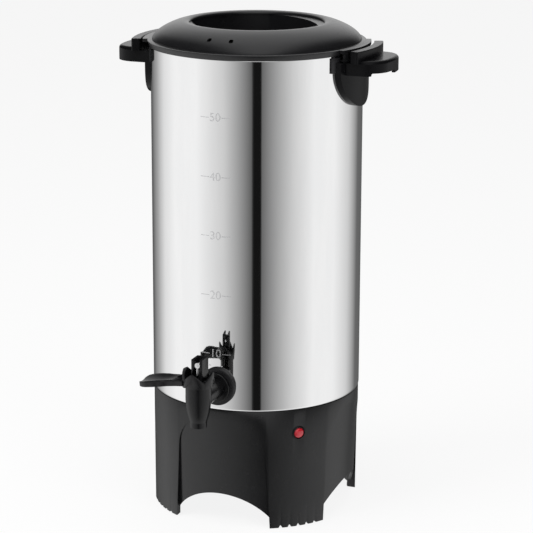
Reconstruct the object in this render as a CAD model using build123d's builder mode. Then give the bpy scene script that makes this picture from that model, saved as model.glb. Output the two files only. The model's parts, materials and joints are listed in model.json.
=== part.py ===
"""Percolating coffee urn: steel tank on a moulded base, side handles, twist-lock lid and a lever tap."""
from build123d import *
from math import cos, radians, sin, tan
import os

os.makedirs("parts", exist_ok=True)

# Frame: +Z up, floor at z = 0, tank axis on Z, tap at the front along -Y, handles on +X and -X.

# ---------------------------------------------------------------- driving dimensions (mm)
GAP = 0.3                      # air between pieces that move past each other
FIT = 0.05                     # radial clearance of a running or located fit
SNUG = 0.02                    # radial clearance of a pinned or tapped fit
PROUD = 1.0                    # how far a cutter stands past what it cuts

TANK_R = 95.0                  # outside of the steel tank
TANK_WALL = 0.8
TANK_H = 313.0                 # from the top of the base to the middle of the rim bead
BEAD_R = 1.9                   # rolled rim bead

BASE_H = 111.0                 # floor to the underside of the tank
BASE_INSET = 0.5               # the base is a little narrower than the tank
BASE_WALL = 2.6
BASE_EDGE = 1.0                # rounding of the base's top edge
DECK_T = 3.0                   # ledge that carries the tank
DECK_W = 13.0
FOOT_COUNT = 4
PANEL_SHARE = 0.479            # half width of a panel at the floor, as a share of the base's radius
PANEL_TOP_SHARE = 0.429
PANEL_DROP = 10.0              # from the top of the base to the top of a panel
PANEL_CORNER = 30.0
PANEL_LIP = 0.4                # how far the panel falls back at its top
PANEL_DEPTH = 4.0              # how far the panel falls back at the floor
ARCH_SPRING = 7.5              # height where the arch leaves the foot
ARCH_TOP = 30.5
FOOT_HALF_DEG = 15.5
LOBES = 6                      # scallops under each foot
LOBE_DEPTH = 2.3

FLOOR_UP = 7.0                 # from the underside of the tank to the inside of its floor
FLOOR_T = 1.0
WELL_R = 29.0                  # heating well in the tank floor
WELL_DEPTH = 16.0
WELL_WALL = 1.6
WELL_FLANGE = 7.0
WELL_EDGE = 1.0
GASKET_H = 1.5                 # gasket under the well's flange
ELEMENT_T = 3.5                # heater band round the well
ELEMENT_H = 11.0
CLAMP_T = 0.9
CLAMP_H = 9.0
CLAMP_MOUTH = 30.0             # opening of the clamp, where the band's tabs come out
TAB_T = 0.9                    # electric tabs
TAB_LEN = 8.0
TAB_W = 5.0
TAB_PITCH = 16.0
WARM_T = 3.0                   # keep-warm heater under the well
WARM_R = 24.0
WARM_HOLE_R = 14.0
THERMOSTAT_R = 8.0
THERMOSTAT_H = 9.0
THERMOSTAT_CAP_R = 5.5
THERMOSTAT_CAP_H = 5.0
THERMOSTAT_Y = 19.0
THERMOSTAT_PITCH = 22.0
FUSE_R = 2.2
FUSE_LEN = 12.0
FUSE_X = 17.0
FUSE_WIRE_R = 0.6
STUD_R = 3.0                   # centre stud that holds the base cover
STUD_HEAD_R = 5.5
STUD_HEAD_T = 6.0
STUD_END = 7.0                 # how far the stud reaches below the cover's underside

COVER_Z = 38.0                 # steel plate that closes the base
COVER_T = 1.5
SLOT_LEN = 12.0                # cooling slots of the cover
SLOT_W = 3.2
SLOT_RING_R = (38.0, 56.0)
SLOT_RING_COUNT = (8, 12)
COVER_NUT_R = 6.2
COVER_NUT_T = 4.0
COVER_WASHER_R = 8.0
COVER_WASHER_T = 1.0
BOSS_R = 4.5
BOSS_H = 28.0
BOSS_IN = 12.5                 # from the outside of the base to the axis of a boss
BOSS_BLIND = 4.0               # solid end of a boss
SCREW_R = 1.9
SCREW_LEN = 16.0
SCREW_HEAD_R = 3.6
SCREW_HEAD_T = 2.0
DRIVE_LEN = 4.4                # cross recess in a screw's head
DRIVE_W = 0.9
DRIVE_DEPTH = 1.1

LAMP_DROP = 22.6               # pilot lamp in the front right foot, below the top of the base
LAMP_R = 5.2                   # hole for the lamp
LAMP_AZ = 45.0
BEZEL_R = 6.0
BEZEL_OUT = 0.8                # bezel proud of the base
LENS_R = 4.6
LENS_T = 1.2
LENS_OUT = 1.8                 # lens proud of the base
LENS_DEPTH = 9.0
LENS_EDGE = 1.5
BULB_R = 2.6
BULB_LEN = 20.0
BULB_BACK = 24.0               # from the outside of the base to the back of the bulb
CLIP_R = 7.8
CLIP_T = 1.0
CLIP_BACK = 15.0

INLET_DROP = 39.0              # mains inlet at the back, below the top of the base
INLET_W = 44.0
INLET_H = 24.0
INLET_CORNER = 8.0
INLET_SHROUD = 2.0
INLET_LEN = 28.0
INLET_FLANGE_IN = 10.0         # from the outside of the base to the face of the inlet's flange
INLET_FLANGE_T = 2.5
INLET_BACK_T = 5.0
INLET_SCREW_X = 26.0
INLET_SCREW_R = 1.35
INLET_SCREW_HEAD_R = 2.6
INLET_SCREW_HEAD_T = 1.8
INLET_SCREW_LEN = 6.0
INLET_BOSS_R = 3.2
PIN_R = 2.35
PIN_PITCH = 19.0
PIN_TAIL = 8.0                 # pin behind the socket
PIN_IN = 3.0                   # pin's tip inside the shroud

TAP_UP = 22.0                  # from the underside of the tank to the axis of the tap shank
TAP_REACH = 44.0               # from the tank wall to the axis of the spout
SHANK_R = 9.0
SHANK_HOLE_R = 8.3
SHANK_IN = 14.0                # threaded end inside the tank
PASSAGE_R = 5.0
GASKET_R = 17.0
GASKET_T = 4.0
GASKET_EDGE = 0.9
FLANGE_R = 13.5
FLANGE_T = 3.0
FLANGE_EDGE = 1.0
WASHER_R = 13.0                # inner washer and nut of the tap
WASHER_IN = 5.0                # from the outside of the tank to the washer's flat face
NUT_T = 6.0
SPOUT_UP = 13.0                # top of the spout above the shank's axis
SPOUT_DOWN = 24.0              # end of the spout below the shank's axis
SPOUT_TOP_R = 11.25
SPOUT_END_R = 7.35
SPOUT_LIP_H = 5.0              # nearly straight end of the spout
SPOUT_LIP_TAPER = 0.2
SPOUT_BELLY_DOWN = 11.5        # where the spout has nearly its full radius, below the shank's axis
SPOUT_BELLY_IN = 1.6
SPOUT_NECK_UP = 6.0
CHAMBER_R = 8.0
SEAT_DOWN = 11.0               # valve seat below the shank's axis
OUTLET_R = 4.6
BONNET_T = 5.0
CUP_H = 5.0
CUP_R = 6.6
CUP_FLOOR = 2.0
CUP_EDGE = 0.8
STEM_R = 1.3
STEM_FOOT = 0.9                # the stem is thicker inside the cup
STEM_COLLAR_R = 4.5
STEM_COLLAR_T = 0.8
SPRING_WIRE = 0.45
SPRING_R = 3.2
SPRING_TURN_COUNT = 4
BALL_R = 2.4                   # swivel head on top of the stem
BALL_UP = 32.0                 # lever pin above the shank's axis
SLEEVE_T = 0.7
SLEEVE_LEN = 8.0
SLEEVE_TOP = 6.0               # end of the stem below the pin
PIVOT_R = 1.0
PIVOT_OUT = 0.6                # pin proud of the swivel head
CROWN_R = 14.0                 # scalloped ring of the lever
CROWN_T = 2.4
CROWN_VALLEY_UP = 6.0          # heights of the crown above the spout
CROWN_PEAK_UP = 14.5
CROWN_BAND = 6.0
CROWN_HAUNCH = 1.0             # crown left at each side of an opening
LEVER_DECK_UP = 2.2
LEVER_DECK_T = 2.2
GUSSET_T = 3.0
GUSSET_OUT = 9.0
PADDLE_UP = 2.6                # underside of the paddle above the spout, carried in to the spout's axis
PADDLE_LEN = 53.0
PADDLE_W = 24.0
PADDLE_TIP_W = 5.0
PADDLE_BROAD = 14.0            # from the tip to the broadest place
PADDLE_NECK = 18.0
PADDLE_NECK_X = 24.0
PADDLE_ROOT_X = 9.0
PADDLE_T = 4.8
PADDLE_DROOP = 6.7
SCOOP_R = 30.0
SCOOP_DEPTH = 2.6
STEM_SLOT = 11.8
STEM_SLOT_W = 5.0
STEM_SLOT_RIGHT = 2.6          # from the stem's axis to the slot's end under the pin
YOKE_W = 14.0                  # length of the yoke cheeks along Y
YOKE_T = 2.4
YOKE_OUT = 3.5                 # open end of the yoke in front of the stem's axis
YOKE_UP = 5.5                  # top of the yoke above the pin
WINDOW_DOWN = 1.0              # top of the cheek's window below the pin

HANDLE_OUT = 34.0              # from the tank wall to the end of the grip
GRIP_W = 63.0
GRIP_DROP = 3.7                # top of the grip below the rim bead
GRIP_H = 13.3
GRIP_WALL = 2.6
GRIP_BOW = 6.0                 # how far the end of the grip bows out
GRIP_CORNER = 20.0
GRIP_ROUND = 3.0
GUARD_OUT = 9.4                # from the tank wall to the inside of the raised guard
GUARD_T = 8.2
GUARD_UP = 4.7                 # top of the guard above the rim bead
GUARD_HALF_DEG = 19.0
GUARD_CORNER = 1.5
GUARD_ROUND = 0.8
SHIELD_T = 4.0
SHIELD_TIP_DROP = 48.0
SHIELD_HALF = 38.5             # half width of the shield at its shoulder
SHIELD_SHOULDER_DROP = 14.0
NOTCH_LEN = 12.5               # finger notch under the end of the grip, on one side
NOTCH_H = 2.6
NOTCH_CORNER = 2.1
HANDLE_SCREW_DROPS = (20.0, 38.0)
HANDLE_SCREW_R = 2.0
HANDLE_SCREW_HEAD_R = 4.0
HANDLE_SCREW_HEAD_T = 2.2
SCREW_SKIN = 1.0               # plastic left past the end of a handle screw
SADDLE_IN = 3.0                # from the outside of the tank to the washers' flat faces
SADDLE_W = 18.0
SADDLE_H = 12.0
SADDLE_CORNER = 3.0
CHANNEL_DROP = 5.4             # bottom of the channel that the lid's lug runs in
BRACKET_T = 1.2
BRACKET_HALF_DEG = 27.0
BRACKET_DROP = 1.1             # top of the bracket below the rim bead
BRACKET_LOW_DROP = 14.3
TONGUE_DROP = 42.5
TONGUE_HALF_DEG = 9.0
TONGUE_PLAY_DEG = 0.2
HOOK_OUT = 3.5
HOOK_FROM_DEG = -6.0
HOOK_TO_DEG = 8.0

LID_OUT = 3.0                  # band of the lid past the tank wall
LID_TUCK_OUT = 1.4             # its lower edge
LID_LOW_UP = 0.4               # its lower edge above the middle of the rim bead
LID_BAND_UP = 5.5              # its ledge
LID_BAND_ROUND = 0.8
LID_WALL = 2.4
# dome from its foot to its crest: in from the tank's radius, up from the rim bead
DOME = ((1.4, 6.0), (2.0, 7.9), (4.0, 10.5), (11.2, 15.8), (21.4, 20.3), (29.5, 22.3))
DOME_INSIDE = ((6.2, 9.2), (13.0, 13.7), (22.6, 17.9), (30.2, 19.7))
CREST_ROUND = (32.5, 22.0)     # between the crest and the recess
RECESS_EDGE_UP = 20.6
RECESS_IN = 35.0               # from the tank's radius to the recess's wall
RECESS_DROP = 7.0              # floor of the recess below the rim bead
PAD_IN = 10.5                  # thumb pads: how far each stands in from the recess's wall
PAD_UP = 19.4
EAR_OUT = 7.0
EAR_T = 3.0
EAR_HALF_DEG = 22.0
LUG_FROM_DEG = -21.0
LUG_TO_DEG = -8.0
LUG_T = 1.8
LUG_DROP = 4.7                 # underside of the lug below the rim bead
LUG_TOE_T = 1.9
SKIRT_IN = 4.4                 # outside of the skirt from the tank's radius
SKIRT_T = 1.8
SKIRT_DROP = 10.0
VENT_R = 1.3
VENT_LEN = 3.9
VENT_AZ = (-7.7, 6.0)
VENT_UP = 15.2
VENT_IN = 19.0                 # where the vents start, in from the tank's radius
SEAL_H = 3.0

TUBE_R = 6.0
TUBE_WALL = 0.8
TUBE_DROP = 13.0               # top of the pump tube below the rim bead
TUBE_FOOT_R = 26.0
TUBE_FOOT_T = 0.8
TUBE_FOOT_RISE = 9.0           # height of the foot's cone
TUBE_SKIRT_H = 2.2
TUBE_SLOT_COUNT = 8
TUBE_SLOT_LEN = 6.0
TUBE_SLOT_W = 3.0
TUBE_SLOT_H = 1.2
COLLAR_W = 2.2                 # collar that carries the basket
COLLAR_T = 2.7
BASKET_R = 70.0
BASKET_DROP = 68.0
BASKET_H = 44.0
BASKET_WALL = 0.8
BASKET_BEVEL = 4.0
SLEEVE_PLAY = 0.6              # between the tube and the basket's sleeve
SLEEVE_DROP = 6.0              # end of the sleeve below the basket's edge
SIEVE_R = 1.0                  # holes of basket and cover
BASKET_RING_R = (18.0, 30.0, 42.0, 54.0)
BASKET_RING_COUNT = (10, 16, 22, 28)
DISH_RING_R = (26.0, 40.0, 54.0)
DISH_RING_COUNT = (12, 18, 24)
DISH_DEPTH = 8.0               # floor of the basket cover below the basket's edge
DISH_STEP = 4.0
DISH_LIP = 2.0

# ---------------------------------------------------------------- sizes that follow
BASE_R = TANK_R - BASE_INSET
TANK_TOP = BASE_H + TANK_H
TANK_IN = TANK_R - TANK_WALL
PANEL_TOP = BASE_H - PANEL_DROP
PANEL_W = PANEL_SHARE * BASE_R
PANEL_TOP_W = PANEL_TOP_SHARE * BASE_R
BOSS_PCR = BASE_R - BOSS_IN
FLOOR_Z = BASE_H + FLOOR_UP
WELL_Z = FLOOR_Z - WELL_DEPTH
LAMP_Z = BASE_H - LAMP_DROP
INLET_Z = BASE_H - INLET_DROP
INLET_FLANGE_Y = BASE_R - INLET_FLANGE_IN
INLET_FRONT = BASE_R - BASE_INSET
INLET_BACK = INLET_FRONT - INLET_LEN
TAP_Y = -(TANK_R + TAP_REACH)
TAP_Z = BASE_H + TAP_UP
SPOUT_TOP = TAP_Z + SPOUT_UP
SPOUT_END = TAP_Z - SPOUT_DOWN
SEAT_Z = TAP_Z - SEAT_DOWN
BALL_Z = TAP_Z + BALL_UP
CHAMBER_TOP = SPOUT_TOP - BONNET_T
CROWN_LOW = SPOUT_TOP + GAP
CROWN_VALLEY = SPOUT_TOP + CROWN_VALLEY_UP
CROWN_PEAK = SPOUT_TOP + CROWN_PEAK_UP
CROWN_DIAG = CROWN_R * sin(radians(45))
PADDLE_ROOT_Z = SPOUT_TOP + PADDLE_UP
LEVER_DECK_Z = SPOUT_TOP + LEVER_DECK_UP
YOKE_TOP = BALL_Z + YOKE_UP
YOKE_FRONT = -TAP_Y + YOKE_OUT      # distances from the tank axis
YOKE_BACK = YOKE_FRONT - YOKE_W
YOKE_IN = BALL_R + GAP
WINDOW_TOP = BALL_Z - WINDOW_DOWN
HANDLE_REACH = TANK_R + HANDLE_OUT
GRIP_TOP = TANK_TOP - GRIP_DROP
GUARD_R = TANK_R + GUARD_OUT
GUARD_TOP = TANK_TOP + GUARD_UP
SHIELD_TIP = TANK_TOP - SHIELD_TIP_DROP
SHIELD_SHOULDER = TANK_TOP - SHIELD_SHOULDER_DROP
BRACKET_R = TANK_R + FIT + BRACKET_T
SHIELD_R = BRACKET_R + SHIELD_T
HANDLE_SCREW_Z = [TANK_TOP - drop for drop in HANDLE_SCREW_DROPS]
SADDLE_X = TANK_R - SADDLE_IN
CHANNEL_FLOOR = TANK_TOP - CHANNEL_DROP
BRACKET_TOP = TANK_TOP - BRACKET_DROP
BRACKET_LOW = TANK_TOP - BRACKET_LOW_DROP
TONGUE_LOW = TANK_TOP - TONGUE_DROP
LID_R = TANK_R + LID_OUT
LID_TUCK_R = TANK_R + LID_TUCK_OUT
LID_LOW = TANK_TOP + LID_LOW_UP
LID_BAND_Z = TANK_TOP + LID_BAND_UP
LID_SEAT_Z = TANK_TOP + BEAD_R + FIT      # the lid rests on the rim bead
LID_IN_R = TANK_R - BEAD_R
LIP_IN_R = TANK_R + GAP
EAR_R = TANK_R + EAR_OUT
LUG_LOW = TANK_TOP - LUG_DROP
RECESS_R = TANK_R - RECESS_IN
RECESS_FLOOR_Z = TANK_TOP - RECESS_DROP
PAD_R = TANK_R                            # curve of the thumb pads
PAD_SHIFT = PAD_R - RECESS_R + PAD_IN
PAD_Z = TANK_TOP + PAD_UP
SKIRT_R = TANK_R - SKIRT_IN
SKIRT_LOW = TANK_TOP - SKIRT_DROP
TUBE_TOP = TANK_TOP - TUBE_DROP
BASKET_LOW = TANK_TOP - BASKET_DROP
BASKET_TOP = BASKET_LOW + BASKET_H

ON = (Align.CENTER, Align.CENTER, Align.MIN)
UNDER = (Align.CENTER, Align.CENTER, Align.MAX)


def wall_r(z):
    """Radius of the recessed panel face at height z."""
    return BASE_R - PANEL_LIP - (PANEL_DEPTH - PANEL_LIP) * (PANEL_TOP - z) / PANEL_TOP


def panel_edge(z):
    """Half width of a panel at height z."""
    return PANEL_W + (PANEL_TOP_W - PANEL_W) * z / PANEL_TOP


def save(part, name):
    part.label = name
    export_step(part, f"parts/{name}.step")


def side_plane(az, r=0.0):
    """Upright plane that faces outwards at azimuth az, counted from the front towards +X."""
    out = Vector(sin(radians(az)), -cos(radians(az)), 0)
    across = Vector(cos(radians(az)), sin(radians(az)), 0)
    return Plane(origin=out * r, x_dir=across, z_dir=out)


def ring_piece(r_in, r_out, low, high, from_deg, to_deg):
    """Slice of a ring on the +X side, between two azimuths counted from +X towards +Y."""
    with BuildPart() as piece:
        with BuildSketch(Plane.XY.offset(low)):
            with BuildLine():
                outer = CenterArc((0, 0), r_out, from_deg, to_deg - from_deg)
                inner = CenterArc((0, 0), r_in, from_deg, to_deg - from_deg)
                Line(outer @ 0, inner @ 0)
                Line(outer @ 1, inner @ 1)
            make_face()
        extrude(amount=high - low)
    return piece.part


# ---------------------------------------------------------------- base
def arch_cutter(az):
    """Opening between two feet; its sides carry on the edges of the panel."""
    with BuildPart() as cutter:
        with BuildSketch(side_plane(az)):
            with BuildLine():
                Polyline((-panel_edge(ARCH_SPRING), ARCH_SPRING), (-panel_edge(-PROUD), -PROUD),
                         (panel_edge(-PROUD), -PROUD), (panel_edge(ARCH_SPRING), ARCH_SPRING))
                ThreePointArc((panel_edge(ARCH_SPRING), ARCH_SPRING), (0, ARCH_TOP),
                              (-panel_edge(ARCH_SPRING), ARCH_SPRING))
            make_face()
        extrude(amount=2 * BASE_R)
    return cutter.part


def panel_cutter(az, grow):
    """What the recessed panel takes off the base; grow adds the wall for the inside."""
    top = PANEL_TOP + grow
    with BuildPart() as core:
        with BuildSketch(Plane.XZ):
            with BuildLine():
                Polyline((0, -2 * PROUD), (wall_r(-2 * PROUD) - grow, -2 * PROUD),
                         (wall_r(top + PROUD) - grow, top + PROUD), (0, top + PROUD), close=True)
            make_face()
        revolve(axis=Axis.Z)
    with BuildPart() as cutter:
        with BuildSketch(side_plane(az, BASE_R / 2)):
            with BuildLine():
                Polyline((-panel_edge(-PROUD) - grow, -PROUD), (-panel_edge(PANEL_TOP) - grow, top),
                         (panel_edge(PANEL_TOP) + grow, top), (panel_edge(-PROUD) + grow, -PROUD), close=True)
            make_face()
            fillet(vertices().group_by(Axis.Y)[-1], PANEL_CORNER + grow)
        extrude(amount=BASE_R)
        add(core.part, mode=Mode.SUBTRACT)
    return cutter.part


def lobe_cutter(az):
    """Groove between two scallops of a foot."""
    half = LOBE_HALF * 0.55
    with BuildPart() as cutter:
        with BuildSketch(side_plane(az, BASE_R * 0.8)):
            with BuildLine():
                Polyline((-half, 0), (-half, -PROUD), (half, -PROUD), (half, 0))
                ThreePointArc((half, 0), (LOBE_HALF * 0.2, LOBE_DEPTH * 0.55), (0, LOBE_DEPTH))
                ThreePointArc((0, LOBE_DEPTH), (-LOBE_HALF * 0.2, LOBE_DEPTH * 0.55), (-half, 0))
            make_face()
        extrude(amount=BASE_R)
    return cutter.part


FEET_AZ = [45 + 360 / FOOT_COUNT * i for i in range(FOOT_COUNT)]
PANELS_AZ = [360 / FOOT_COUNT * i for i in range(FOOT_COUNT)]
LOBE_DEG = 2 * FOOT_HALF_DEG / LOBES
LOBE_HALF = BASE_R * radians(LOBE_DEG) / 2
CEILING = BASE_H - DECK_T
RIB_LEN = BOSS_IN - BASE_WALL / 2

with BuildPart() as base_inside:
    with BuildSketch():
        Circle(BASE_R - BASE_WALL)
    extrude(amount=CEILING)
    for az in PANELS_AZ:
        add(panel_cutter(az, BASE_WALL), mode=Mode.SUBTRACT)
    with BuildSketch(Plane.XY.offset(CEILING)):
        Circle(BASE_R - DECK_W)
    extrude(amount=DECK_T)

with BuildPart() as base_skirt:
    with BuildSketch():
        Circle(BASE_R)
    extrude(amount=BASE_H)
    fillet(base_skirt.edges().filter_by(GeomType.CIRCLE).sort_by(Axis.Z)[-1], BASE_EDGE)
    for az in PANELS_AZ:
        add(panel_cutter(az, 0), mode=Mode.SUBTRACT)
    add(base_inside.part, mode=Mode.SUBTRACT)
    for az in PANELS_AZ:
        add(arch_cutter(az), mode=Mode.SUBTRACT)
    # screw bosses inside each foot, each on a rib from the wall
    for az in FEET_AZ:
        boss_place = Location((BOSS_PCR * sin(radians(az)), -BOSS_PCR * cos(radians(az)), 0), (0, 0, az))
        with BuildSketch(Plane.XY.offset(COVER_Z + COVER_T)):
            with Locations(boss_place):
                Circle(BOSS_R)
                with Locations((0, -RIB_LEN / 2)):
                    Rectangle(BASE_WALL, RIB_LEN)
        extrude(amount=BOSS_H)
        with BuildSketch(Plane.XY.offset(COVER_Z + COVER_T)):
            with Locations(boss_place):
                Circle(SCREW_R - SNUG)
        extrude(amount=BOSS_H - BOSS_BLIND, mode=Mode.SUBTRACT)
    # scalloped feet
    for az in FEET_AZ:
        for k in range(1, LOBES):
            add(lobe_cutter(az - FOOT_HALF_DEG + k * LOBE_DEG), mode=Mode.SUBTRACT)
    # pilot lamp hole and mains inlet window
    with BuildSketch(side_plane(LAMP_AZ, BASE_R - BOSS_IN)):
        with Locations((0, LAMP_Z)):
            Circle(LAMP_R)
    extrude(amount=2 * BOSS_IN, mode=Mode.SUBTRACT)
    with BuildSketch(side_plane(180, INLET_BACK)):
        with Locations((0, INLET_Z)):
            RectangleRounded(INLET_W, INLET_H, INLET_CORNER)
    extrude(amount=2 * INLET_LEN, mode=Mode.SUBTRACT)
    # two bosses behind the wall take the inlet's screws
    for side in (-1, 1):
        with BuildSketch(side_plane(180, INLET_FLANGE_Y)):
            with Locations((side * INLET_SCREW_X, INLET_Z)):
                Circle(INLET_BOSS_R)
        extrude(amount=wall_r(INLET_Z) - BASE_WALL / 2 - INLET_FLANGE_Y - PROUD)
        with BuildSketch(side_plane(180, INLET_FLANGE_Y)):
            with Locations((side * INLET_SCREW_X, INLET_Z)):
                Circle(INLET_SCREW_R + SNUG)
        extrude(amount=INLET_SCREW_LEN - INLET_FLANGE_T, mode=Mode.SUBTRACT)
save(base_skirt.part, "base_skirt")

# ---------------------------------------------------------------- tank
with BuildPart() as tank_shell:
    with BuildSketch(Plane.XZ):
        with Locations((TANK_R - TANK_WALL / 2, (BASE_H + TANK_TOP) / 2)):
            Rectangle(TANK_WALL, TANK_H)
        with Locations((TANK_R - BEAD_R, TANK_TOP)):
            Circle(BEAD_R)
    revolve(axis=Axis.Z)
    # hole for the tap shank
    with BuildSketch(side_plane(0, TANK_R / 2)):
        with Locations((0, TAP_Z)):
            Circle(SHANK_HOLE_R + FIT)
    extrude(amount=TANK_R, mode=Mode.SUBTRACT)
    # holes for the handle screws
    with BuildSketch(Plane.YZ.offset(-2 * TANK_R)):
        for z in HANDLE_SCREW_Z:
            with Locations((0, z)):
                Circle(HANDLE_SCREW_R + 2 * FIT)
    extrude(amount=4 * TANK_R, mode=Mode.SUBTRACT)
save(tank_shell.part, "tank_shell")

WELL_OUT_R = WELL_R + WELL_WALL
with BuildPart() as tank_floor:
    with BuildSketch(Plane.XZ):
        with BuildLine():
            Polyline((WELL_OUT_R + FIT, FLOOR_Z), (TANK_IN, FLOOR_Z), (TANK_IN, BASE_H),
                     (TANK_IN - FLOOR_T, BASE_H), (TANK_IN - FLOOR_T, FLOOR_Z - FLOOR_T),
                     (WELL_OUT_R + FIT, FLOOR_Z - FLOOR_T), close=True)
        make_face()
    revolve(axis=Axis.Z)
save(tank_floor.part, "tank_floor")

# ---------------------------------------------------------------- heating well, elements and base closing plate
with BuildPart() as well_gasket:
    with BuildSketch(Plane.XY.offset(FLOOR_Z)):
        Circle(WELL_R + WELL_FLANGE)
        Circle(WELL_OUT_R + FIT, mode=Mode.SUBTRACT)
    extrude(amount=GASKET_H)
save(well_gasket.part, "well_gasket")

FLANGE_LOW = FLOOR_Z + GASKET_H
WELL_TOP = FLANGE_LOW + WELL_WALL
with BuildPart() as heating_well:
    with BuildSketch(Plane.XZ):
        with BuildLine():
            Polyline((0, WELL_Z - WELL_WALL), (WELL_OUT_R, WELL_Z - WELL_WALL), (WELL_OUT_R, FLANGE_LOW),
                     (WELL_R + WELL_FLANGE, FLANGE_LOW), (WELL_R + WELL_FLANGE, WELL_TOP), (WELL_R, WELL_TOP),
                     (WELL_R, WELL_Z), (0, WELL_Z), close=True)
        make_face()
        fillet(vertices().group_by(Axis.Y)[-1].sort_by(Axis.X)[0], WELL_EDGE)
    revolve(axis=Axis.Z)
save(heating_well.part, "heating_well")

with BuildPart() as boil_element:
    with BuildSketch(Plane.XY.offset(WELL_Z)):
        Circle(WELL_OUT_R + FIT + ELEMENT_T)
        Circle(WELL_OUT_R + FIT, mode=Mode.SUBTRACT)
    extrude(amount=ELEMENT_H)
    with Locations((0, WELL_OUT_R + ELEMENT_T + TAB_LEN / 2 - PROUD, WELL_Z + ELEMENT_H / 2)):
        with GridLocations(TAB_PITCH, 1, 2, 1):
            Box(TAB_W, TAB_LEN, TAB_T)
save(boil_element.part, "boil_element")

CLAMP_R = WELL_OUT_R + 2 * FIT + ELEMENT_T
with BuildPart() as element_clamp:
    with BuildSketch(Plane.XY.offset(WELL_Z + (ELEMENT_H - CLAMP_H) / 2)):
        Circle(CLAMP_R + CLAMP_T)
        Circle(CLAMP_R, mode=Mode.SUBTRACT)
        Rectangle(CLAMP_MOUTH, 2 * CLAMP_R, align=(Align.CENTER, Align.MIN), mode=Mode.SUBTRACT)
    extrude(amount=CLAMP_H)
save(element_clamp.part, "element_clamp")

WARM_TOP = WELL_Z - WELL_WALL
WARM_LOW = WARM_TOP - WARM_T
with BuildPart() as warm_element:
    with BuildSketch(Plane.XY.offset(WARM_LOW)):
        Circle(WARM_R)
        Circle(WARM_HOLE_R, mode=Mode.SUBTRACT)
    extrude(amount=WARM_T)
    with Locations((0, -WARM_R - TAB_LEN / 2 + PROUD, (WARM_TOP + WARM_LOW) / 2)):
        with GridLocations(WARM_HOLE_R, 1, 2, 1):
            Box(TAB_W, TAB_LEN, TAB_T)
save(warm_element.part, "warm_element")

with BuildPart() as center_stud:
    with Locations((0, 0, COVER_Z - STUD_END)):
        Cylinder(STUD_R, WARM_TOP - COVER_Z + STUD_END, align=ON)
    chamfer(center_stud.edges().sort_by(Axis.Z)[0], STUD_R / 6)
    with Locations((0, 0, WARM_TOP)):
        Cylinder(STUD_HEAD_R, STUD_HEAD_T, align=UNDER)
save(center_stud.part, "center_stud")

with BuildPart() as thermostat:
    with Locations((0, THERMOSTAT_Y, WARM_LOW)):
        Cylinder(THERMOSTAT_R, THERMOSTAT_H, align=UNDER)
    with Locations((0, THERMOSTAT_Y, WARM_LOW - THERMOSTAT_H)):
        Cylinder(THERMOSTAT_CAP_R, THERMOSTAT_CAP_H, align=UNDER)
    with Locations((0, THERMOSTAT_Y, WARM_LOW - THERMOSTAT_H / 2)):
        with GridLocations(THERMOSTAT_PITCH, 1, 2, 1):
            Box(TAB_LEN, TAB_W, TAB_T)
save(thermostat.part, "thermostat")

with BuildPart() as thermal_fuse:
    with Locations(Location((FUSE_X, 0, WARM_LOW - FUSE_R), (90, 0, 0))):
        Cylinder(FUSE_R, FUSE_LEN)
        Cylinder(FUSE_WIRE_R, 2 * FUSE_LEN)
save(thermal_fuse.part, "thermal_fuse")

COVER_R = wall_r(COVER_Z) - BASE_WALL - GAP
with BuildPart() as base_cover:
    with BuildSketch(Plane.XY.offset(COVER_Z)):
        Circle(COVER_R)
        Circle(STUD_R + 4 * FIT, mode=Mode.SUBTRACT)
        with PolarLocations(BOSS_PCR, FOOT_COUNT, start_angle=45):
            Circle(SCREW_R + GAP, mode=Mode.SUBTRACT)
        # cooling slots in rings
        for ring_r, slots in zip(SLOT_RING_R, SLOT_RING_COUNT):
            with PolarLocations(ring_r, slots):
                SlotOverall(SLOT_LEN, SLOT_W, mode=Mode.SUBTRACT)
    extrude(amount=COVER_T)
save(base_cover.part, "base_cover")

with BuildPart() as cover_nut:
    with BuildSketch(Plane.XY.offset(COVER_Z - COVER_WASHER_T)):
        RegularPolygon(COVER_NUT_R, 6)
        Circle(STUD_R + FIT, mode=Mode.SUBTRACT)
    extrude(amount=-COVER_NUT_T)
    with BuildSketch(Plane.XY.offset(COVER_Z)):
        Circle(COVER_WASHER_R)
        Circle(STUD_R + FIT, mode=Mode.SUBTRACT)
    extrude(amount=-COVER_WASHER_T)
save(cover_nut.part, "cover_nut")

with BuildPart() as base_screws:
    with Locations((0, 0, COVER_Z)):
        with PolarLocations(BOSS_PCR, FOOT_COUNT, start_angle=45):
            Cylinder(SCREW_R - FIT, SCREW_LEN, align=ON)
            Cylinder(SCREW_HEAD_R, SCREW_HEAD_T, align=UNDER)
    with Locations((0, 0, COVER_Z - SCREW_HEAD_T)):
        with PolarLocations(BOSS_PCR, FOOT_COUNT, start_angle=45):
            Box(DRIVE_LEN, DRIVE_W, DRIVE_DEPTH, align=ON, mode=Mode.SUBTRACT)
            Box(DRIVE_W, DRIVE_LEN, DRIVE_DEPTH, align=ON, mode=Mode.SUBTRACT)
save(base_screws.part, "base_screws")


# ---------------------------------------------------------------- pilot lamp
def lamp_circle(back, r, r_in=0.0):
    """Disc or ring round the lamp's axis, that far behind the outside of the base."""
    with BuildSketch(side_plane(LAMP_AZ, BASE_R - back)) as disc:
        with Locations((0, LAMP_Z)):
            Circle(r)
            if r_in:
                Circle(r_in, mode=Mode.SUBTRACT)
    return disc.sketch


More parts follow.
